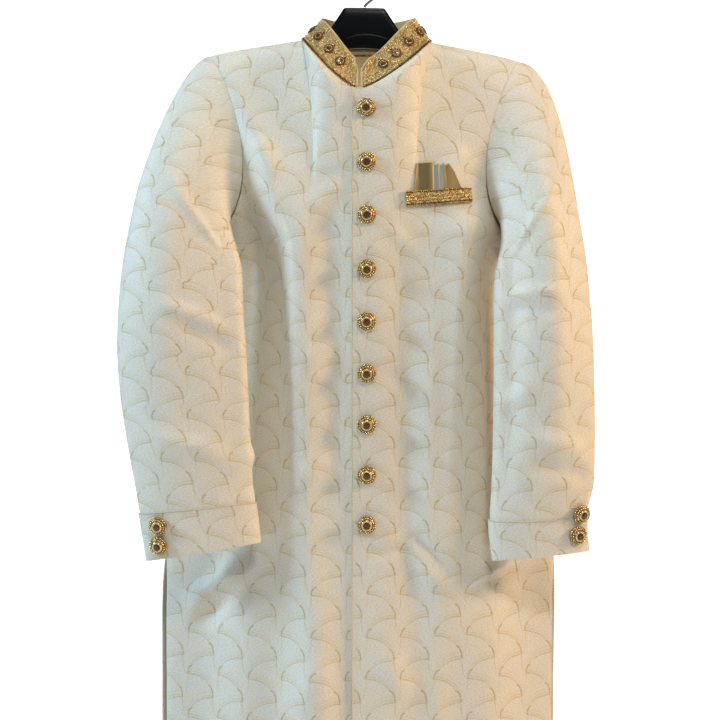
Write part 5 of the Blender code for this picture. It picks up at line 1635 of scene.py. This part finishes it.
def locate(face, x, z):
    """The column and row at which a body face lies at x and z."""
    column = np.asarray(x, float) * 3.0
    row = 1.0 + (UNDERARM_Z - np.asarray(z, float)) / (UNDERARM_Z - HEM_Z)
    row = np.clip(row, 0.5, 2.0)
    for _ in range(40):
        point = body_point(face, column, row)
        column = np.clip(column + (x - point[..., 0]) * 2.2, -1.0, 1.0)
        row = np.clip(row + (point[..., 2] - z) * 1.2, 0.02, 2.0)
    return column, row


def on_body(face, x, z):
    """Points on a body face at x and z, and its outward normals there."""
    column, row = locate(face, x, z)
    return body_point(face, column, row), body_normals(face, column, row)


def on_lap(x, z):
    """Points and normals on the lapped left front, straight from one of its rows to the next."""
    column, row = locate("front", x, z)
    rows = body_rows()
    i = np.clip(np.searchsorted(rows, row) - 1, 0, len(rows) - 2)
    ends = []
    for end in (rows[i], rows[i + 1]):
        points, normals = body_point("front", column, end), body_normals("front", column, end)
        ends.append(points + lap_shift(points, normals))
    share = ((row - rows[i]) / (rows[i + 1] - rows[i]))[..., None]
    return blend(*ends, share), body_normals("front", column, row)


HEAD_ROWS = (0.0, 0.06, 0.13, 0.22, 0.33, 0.45, 0.57, 0.69, 0.82, 1.0)
SKIRT_ROWS = 11


def body_rows():
    skirt = 1.0 + np.arange(1, SKIRT_ROWS + 1) / SKIRT_ROWS
    return np.concatenate([HEAD_ROWS, skirt])


def sew_on(node, seat, normal, droop):
    """A button for one solid, which droops by this many degrees."""
    piece = placed(node + "_jewelled", button_mesh, seat, normal, droop=math.radians(droop))
    wear(piece, "button_gold", node)


steps = np.arange(BUTTON_COUNT)
heights = BUTTON_TOP_Z - steps * BUTTON_PITCH + steps**2 * BUTTON_PITCH_EASE
points, normals = on_lap(np.full(BUTTON_COUNT, BUTTON_X), heights)
for n, (point, normal) in enumerate(zip(points, normals)):
    sew_on(f"button_{n + 1}", point + normal * (BUTTON_GAP + 0.0004), normal, 7)

for side in (1.0, -1.0):
    name = side_name(side)
    for n, (turn, height) in enumerate(CUFF_BUTTONS[name]):
        angle = np.radians([turn])
        row = row_above_end(side, angle, height)
        normal = sleeve_normals(side, angle, row)[0]
        seat = sleeve_point(side, angle, row)[0] + normal * (LAY_GAP + CUFF_WALL + BUTTON_GAP)
        sew_on(f"cuff_button_{name}_{n + 1}", seat, normal, 8)
print("buttons placed:", BUTTON_COUNT + 4)

# %% [markdown]
# The collar's motifs are small cousins of the buttons: a low gold boss, a ring of dark
# beads and a dark amber stone, with a drop of three beads above each.

# %% Collar motifs
MOTIF_COUNT = 16
MOTIF_SPAN = 0.4408
motif_mesh = jewelled(
    "motif_master",
    (
        (((0.0064, 0.0), (0.0073, 0.0006), (0.0068, 0.0014), (0.0050, 0.0019)), 24, bronze, False),
        (((0.0032, 0.0016), (0.0031, 0.0028), (0.0020, 0.0038), (0.0010, 0.0040)), 8, amber_stone, True),
    ),
    ((13, 0.0062, 0.0017, 0.00130, dark_bead), (10, 0.0041, 0.0022, 0.00105, gold_bead)),
)
drop_mesh = jewelled(
    "drop_master",
    ((((0.0012, 0.0), (0.0016, 0.0006), (0.0011, 0.0013), (0.0004, 0.0015)), 10, dark_bead, False),),
    ((3, 0.0019, 0.0008, 0.0008, gold_bead),),
)
places = collar_length / 2 + np.linspace(-0.5, 0.5, MOTIF_COUNT) * MOTIF_SPAN
for n, place in enumerate(places):
    at = np.array([place - 0.001, place, place + 0.001])
    spot, facing = on_collar(at, COLLAR_HEIGHT * 0.50, 0.0001)
    above, over = on_collar(at, COLLAR_HEIGHT * 0.735, 0.0001)
    up = unit(above[1] - spot[1])
    wear(placed(f"collar_motif_{n + 1}", motif_mesh, spot[1], facing[1], up), "embroidery")
    wear(placed(f"collar_drop_{n + 1}", drop_mesh, above[1], over[1], up), "embroidery")
print("motifs:", len(places), "at a pitch of", round(float(places[1] - places[0]), 4), "m")

# %% [markdown]
# The breast pocket shows a stitched-on band, worked like the collar, and a satin square
# folded in pleats behind it. The square's leaves take light differently, so its material
# changes colour from leaf to leaf.

# %% Pocket band and square
WELT_MIDDLE = (0.1012, -0.3222)
WELT_SIZE = (0.090, 0.0205)
WELT_SLOPE = math.radians(4.6)
WELT_WALL = 0.0030
WELT_GAP = 0.0023
SQUARE_LEFT_X = -0.034
SQUARE_TOP = 0.0405
SQUARE_WALL = 0.0016
PATCH_GAP = 0.0010


def on_front(points_2d, middle, lift):
    """Points laid on the left front, given across and up from a middle, and lifted off it."""
    points, normals = on_body("front", middle[0] + points_2d[..., 0], middle[1] + points_2d[..., 1])
    return points + normals * lift[..., None]


def turned_2d(points, angle):
    c, s = math.cos(angle), math.sin(angle)
    x, y = points[..., 0], points[..., 1]
    return np.stack([x * c - y * s, x * s + y * c], axis=-1)


u = np.linspace(-0.5, 0.5, 61) * WELT_SIZE[0]
v = np.linspace(0.5, -0.5, 17) * WELT_SIZE[1]
flat = turned_2d(np.stack(np.meshgrid(u, v), axis=-1), WELT_SLOPE)
swell = 0.0006 * (np.exp(-(((np.abs(v) - 0.0066) / 0.0016) ** 2)) + 0.6 * np.exp(-((v / 0.0022) ** 2)))
lift = np.full(flat.shape[:2], WELT_GAP)
welt_inner = on_front(flat, WELT_MIDDLE, lift)
welt_outer = on_front(flat, WELT_MIDDLE, lift + WELT_WALL + swell[:, None])
welt_uv = np.stack(np.meshgrid(u, v), axis=-1)
pocket_band = cloth_wall("pocket_band", welt_outer, welt_inner, welt_uv, (gold_thread,))
wear(pocket_band, "embroidery", "pocket_welt")


def along_band(height):
    """Two paths along the pocket's band, this share above and below its middle."""
    across = np.linspace(-0.485, 0.485, 61) * WELT_SIZE[0]
    reach = np.full(61, WELT_GAP + WELT_WALL + 0.0008)
    paths = []
    for share in (height, -height):
        line = np.stack([across, np.full(61, share * WELT_SIZE[1])], axis=-1)
        paths.append(on_front(turned_2d(line, WELT_SLOPE), WELT_MIDDLE, reach))
    return paths


bead_rows("pocket_band_dark_beads", along_band(0.40), 0.0028, 0.00115, dark_bead)
bead_rows("pocket_band_gold_beads", along_band(0.13), 0.0030, 0.00125, gold_bead)


def satin(name, stops, roughness=0.34):
    """Silk satin, coloured along the map's first direction."""
    material, tree, shader = new_material(name, stops[0][1], roughness, Sheen_Weight=0.2)
    place = add(tree, "ShaderNodeUVMap", uv_map="cloth")
    split = add(tree, "ShaderNodeSeparateXYZ", {0: place.outputs[0]})
    ramp = add(tree, "ShaderNodeValToRGB", {0: split.outputs[0]})
    while len(ramp.color_ramp.elements) < len(stops):
        ramp.color_ramp.elements.new(0.5)
    for element, (at, code) in zip(ramp.color_ramp.elements, stops):
        element.position = at
        element.color = linear(code)
    tree.links.new(ramp.outputs[0], shader.inputs["Base Color"])
    weave = noise(tree, stretched(tree, place, 40.0, 160.0), 2.0, 2.0)
    relief(tree, shader, weave, 0.0004, 0.6)
    return material


square_satin = satin(
    "folded silk satin",
    (
        (0.00, "#B89A5C"), (0.04, "#7A6A3E"), (0.17, "#6E5F38"), (0.25, "#A8925C"), (0.29, "#DCCB9E"),
        (0.33, "#8F9488"), (0.62, "#A3A595"), (0.70, "#8A7444"), (0.85, "#A08850"), (1.00, "#84703E"),
    ),
)
SQUARE_COLUMNS = ("low", "high", "top", "out")
SQUARE_FOLDS = (
    (0.0000, 0.0035, 1.00, 0.0000),
    (0.0130, 0.0145, 1.00, 0.0010),
    (0.0265, 0.0250, 0.99, 0.0018),
    (0.0290, 0.0290, 0.88, 0.0004),
    (0.0340, 0.0335, 0.93, 0.0018),
    (0.0375, 0.0365, 0.86, 0.0004),
    (0.0430, 0.0410, 0.93, 0.0018),
    (0.0470, 0.0440, 0.85, 0.0004),
    (0.0540, 0.0480, 0.92, 0.0016),
    (0.0655, 0.0560, 0.62, 0.0006),
)
table = np.array(SQUARE_FOLDS)
place = np.arange(len(table))
fine = np.linspace(0, len(table) - 1, 73)
fine = blend(fine, np.round(fine) + (fine - np.round(fine)) ** 3 * 4, 0.35)
size = {name: np.interp(fine, place, table[:, i]) for i, name in enumerate(SQUARE_COLUMNS)}
shares = np.linspace(1, 0, 19)[:, None]
base_up = WELT_SIZE[1] / 2 + 0.0006
across = SQUARE_LEFT_X + blend(size["low"], size["high"], shares)
slope = math.tan(WELT_SLOPE) * (SQUARE_LEFT_X + size["low"])
up = base_up + slope + shares * (SQUARE_TOP * size["top"] - base_up * 0.25)
flat = np.stack([across, up], axis=-1)
lift = PATCH_GAP + size["out"] * blend(0.6, 1.15, shares)
square_inner = on_front(flat, WELT_MIDDLE, lift)
square_outer = on_front(flat, WELT_MIDDLE, lift + SQUARE_WALL)
square_uv = np.stack(np.broadcast_arrays(fine / (len(table) - 1), shares), axis=-1)
pocket_cloth = cloth_wall("pocket_square_silk", square_outer, square_inner, square_uv, (square_satin,))
wear(pocket_cloth, "satin", "pocket_square")
hem = tube("pocket_square_rolled_hem", (square_outer[0] + square_inner[0]) / 2, 0.0011, cream_cord, sides=8)
wear(hem, "satin")

# %% [markdown]
# Inside the back of the neck is a satin facing with a bare woven patch. Only a little of it
# shows below the hanger, but it closes the view into the coat.

# %% Facing and patch
facing_satin = satin("tan facing satin", ((0.0, "#F0DBAC"), (0.5, "#E4CC98"), (1.0, "#F0DBAC")), 0.40)
FACING_ROW_COUNT = 5
FACING_WALL = 0.0008
LABEL_SIZE = (0.046, 0.020)
LABEL_MIDDLE_X = 0.0085
LABEL_TOP_DROP = 0.0035


def laid_inside(name, node, columns, rows, depth, uv):
    """A thin satin piece laid inside the back, this far below its outer face."""
    normals = body_normals("back", columns, rows)
    outer = body_point("back", columns, rows) - normals * depth
    piece = cloth_wall(name, outer, outer - normals * FACING_WALL, uv, (facing_satin,))
    wear(piece, "satin", node)


facing_rows = np.linspace(HEAD_ROWS[1], HEAD_ROWS[FACING_ROW_COUNT - 1], 21)
columns, rows = np.meshgrid(np.linspace(-0.23, 0.23, 47), facing_rows)
uv = np.stack([(columns + 0.23) / 0.46, rows], axis=-1)
laid_inside("neck_facing_satin", "neck_facing", columns, rows, CLOTH + PATCH_GAP, uv)
width, height = LABEL_SIZE
x = LABEL_MIDDLE_X + np.linspace(-0.5, 0.5, 17) * width
z = NAPE_Z - LABEL_TOP_DROP - np.linspace(0, 1, 9) * height
columns, rows = locate("back", *np.meshgrid(x, z))
uv = np.stack(np.meshgrid(np.linspace(0, 1, 17), np.linspace(0, 1, 9)), axis=-1)
depth = CLOTH + FACING_WALL + 2 * PATCH_GAP
laid_inside("neck_patch_woven", "neck_label", columns, rows, depth, uv)

# %% [markdown]
# The hanger is injection-moulded in black polystyrene: glossy, with soft corners and a
# raised lip across its front. Its sections are strung from shoulder to shoulder, and the
# sizes between the table's rows are read off straight lines.

# %% The hanger
black_plastic = plain_finish(
    "moulded black polystyrene", "#060607", 0.30, 160.0, 0.0001, Specular_IOR_Level=0.22
)
HANGER_COLUMNS = ("x", "top", "bottom", "half_depth")
HANGER_SECTIONS = (
    (0.000, -0.0515, -0.1115, 0.0130),
    (0.018, -0.0515, -0.1125, 0.0130),
    (0.0275, -0.0517, -0.1142, 0.0130),
    (0.0300, -0.0540, -0.1150, 0.0130),
    (0.0385, -0.0672, -0.1180, 0.0132),
    (0.0470, -0.0800, -0.1210, 0.0135),
    (0.0580, -0.0945, -0.1245, 0.0138),
    (0.0700, -0.1020, -0.1280, 0.0140),
    (0.0850, -0.1040, -0.1320, 0.0140),
    (0.1050, -0.1055, -0.1360, 0.0136),
    (0.1350, -0.1112, -0.1400, 0.0134),
    (0.1650, -0.1170, -0.1450, 0.0132),
    (0.1880, -0.1216, -0.1490, 0.0124),
    (0.2020, -0.1256, -0.1500, 0.0104),
    (0.2080, -0.1310, -0.1440, 0.0060),
)
HOOK_INNER = 0.0200
HOOK_WIRE = 0.0019
HOOK_TIP_ANGLE = math.radians(222)


def hanger_size(name, x):
    table = np.array(HANGER_SECTIONS)
    return np.interp(np.abs(x), table[:, 0], table[:, HANGER_COLUMNS.index(name)])


arm = np.linspace(0.06, 0.208, 45)
xs = np.concatenate([-arm[::-1], np.linspace(-0.06, 0.06, 61)[1:-1], arm])
turns = np.linspace(0, 2 * math.pi, 48, endpoint=False)
top, bottom, half = (hanger_size(name, xs)[:, None] for name in ("top", "bottom", "half_depth"))
power = blend(0.40, 0.85, smooth((np.abs(xs) - 0.05) / 0.05))[:, None]
cos, sin = np.cos(turns)[None], np.sin(turns)[None]
y = half * np.sign(cos) * np.abs(cos) ** power
z = (top + bottom) / 2 + (top - bottom) / 2 * np.sign(sin) * np.abs(sin) ** power
rings = np.stack(np.broadcast_arrays(xs[:, None], y, z), axis=-1)
ends = hang(rings[[0, -1]].mean(axis=1))
mesh = ringed_mesh("hanger", hang(rings), ends, black_plastic)
mesh.set_sharp_from_angle(angle=math.radians(60))
mesh.update()
if sum(p.normal.y * (1 if p.center.y > 0 else -1) * p.area for p in mesh.polygons) < 0:
    mesh.flip_normals()
hanger = linked("hanger", mesh)
wear(hanger, "hanger_plastic", "hanger_body")

lip_x = np.linspace(-0.026, 0.034, 41)
lip = np.stack([lip_x, np.full(41, -0.0128), -0.0906 - ((lip_x - 0.004) / 0.030) ** 2 * 0.0065], axis=-1)
lip_bead = tube("hanger_lip", lip, 0.0011, black_plastic, sides=10)
wear(lip_bead, "hanger_plastic")
print("hanger:", len(mesh.polygons), "faces")

# %% [markdown]
# The hook is drawn steel wire with a thin bright plating, bent cold, with a rounded tip.

# %% The hook
plated_steel = plain_finish("bright plated steel wire", "#C9CACD", 0.20, 700.0, 0.00005, Metallic=1.0)
guide = np.array([(0, -0.0517), (0.0010, -0.0480), (0.0058, -0.0430), (0.0140, -0.0365), (0.0202, -0.0285)])
radius = HOOK_INNER + HOOK_WIRE
first = math.atan2(guide[-1][1] + HOOK_INNER, guide[-1][0]) + math.radians(27)
turns = np.linspace(first, HOOK_TIP_ANGLE, 60)
crook = np.stack([radius * np.cos(turns), -HOOK_INNER + radius * np.sin(turns)], axis=1)
lead = curve_through(np.linspace(0, 5, 31)[:-1], np.arange(6.0), np.vstack([guide, crook[:1]]))
line = np.vstack([lead, crook])
line = np.stack([line[:, 0], np.zeros(len(line)), line[:, 1]], axis=1)
hook = tube("hook", line, HOOK_WIRE, plated_steel, sides=16)
wear(hook, "hook_steel", "hanger_hook")
print("hook wire:", HOOK_WIRE * 2000, "mm")

# %% [markdown]
# The picture is taken square on, from about the height of the coat's middle. The room is a
# plain pale floor with a backdrop that curves up from it. Large soft lights, a cool one on
# the left and a warm one on the right, bring out the folds.

# %% Stage, lights and camera
def area_light(name, at, towards, size, power, colour):
    lamp = bpy.data.lights.new(name, "AREA")
    lamp.shape = "DISK"
    lamp.size = size
    lamp.energy = power
    lamp.color = linear(colour)[:3]
    holder = linked(name, lamp)
    direction = np.array(towards, float) - np.array(at, float)
    holder.location = at
    yaw = math.atan2(direction[1], direction[0]) - math.pi / 2
    pitch = math.atan2(direction[2], math.hypot(direction[0], direction[1]))
    holder.rotation_euler = (math.pi / 2 + pitch, 0.0, yaw)


backdrop_paint = plain_finish("matt white backdrop", "#F4F4F3", 0.9, 400.0, 0.0)
bend = np.linspace(0, math.pi / 2, 13)
profile = [(5.2 + 0.9 * math.sin(t), -0.72 - 0.9 * math.cos(t)) for t in bend]
profile = [(-10.0, -1.62)] + profile + [(6.1, 6.0)]
vertices = np.array([(x, y, z) for x in (-12.0, 12.0) for y, z in profile])
n = len(profile)
faces = np.array([[k, n + k, n + k + 1, k + 1] for k in range(n - 1)])
backdrop = mesh_object("backdrop", vertices, faces, (backdrop_paint,))

middle = (0.0, 0.0, -0.55)
area_light("cool left", (-3.0, -0.8, 0.8), middle, 0.8, 96, "#AFD2F0")
area_light("warm right", (3.0, -0.8, 0.5), middle, 0.8, 66, "#FFD09A")
area_light("front key", (0.7, -3.2, 2.4), (0.0, 0.0, -0.3), 0.8, 47, "#FCF7EC")
# a small card inside the neck, which lights the facing
area_light("neck bounce", (-0.004, -0.030, -0.205), (-0.002, 0.060, -0.145), 0.03, 0.05, "#FFF3DC")
area_light("top", (0.0, -0.5, 2.2), (0.0, 0.0, -0.3), 1.0, 17, "#FFFFFF")
area_light("backdrop left", (-3.4, 3.4, 0.6), (-0.9, 6.1, -0.5), 2.0, 190, "#FFFFFF")
area_light("backdrop right", (3.4, 3.4, 0.6), (0.9, 6.1, -0.5), 2.0, 190, "#FFFFFF")

world = bpy.data.worlds.new("studio")
world.use_nodes = True
world.node_tree.nodes["Background"].inputs["Color"].default_value = linear("#D5E6F7")
world.node_tree.nodes["Background"].inputs["Strength"].default_value = 0.17
bpy.context.scene.world = world
# plain photographic tones, without the film curve
bpy.context.scene.view_settings.view_transform = "Standard"

CAMERA_PLACE = (-0.0062, -2.66, -0.548)
camera_data = bpy.data.cameras.new("camera")
camera_data.sensor_width = 36.0
# the picture is 0.994 m wide at 2.6 m
camera_data.lens = 36.0 * 2.6 / 0.994
camera = linked("camera", camera_data)
camera.location = CAMERA_PLACE
camera.rotation_euler = (math.pi / 2, 0.0, 0.0)
bpy.context.scene.camera = camera
print("camera distance:", -CAMERA_PLACE[1], "m")
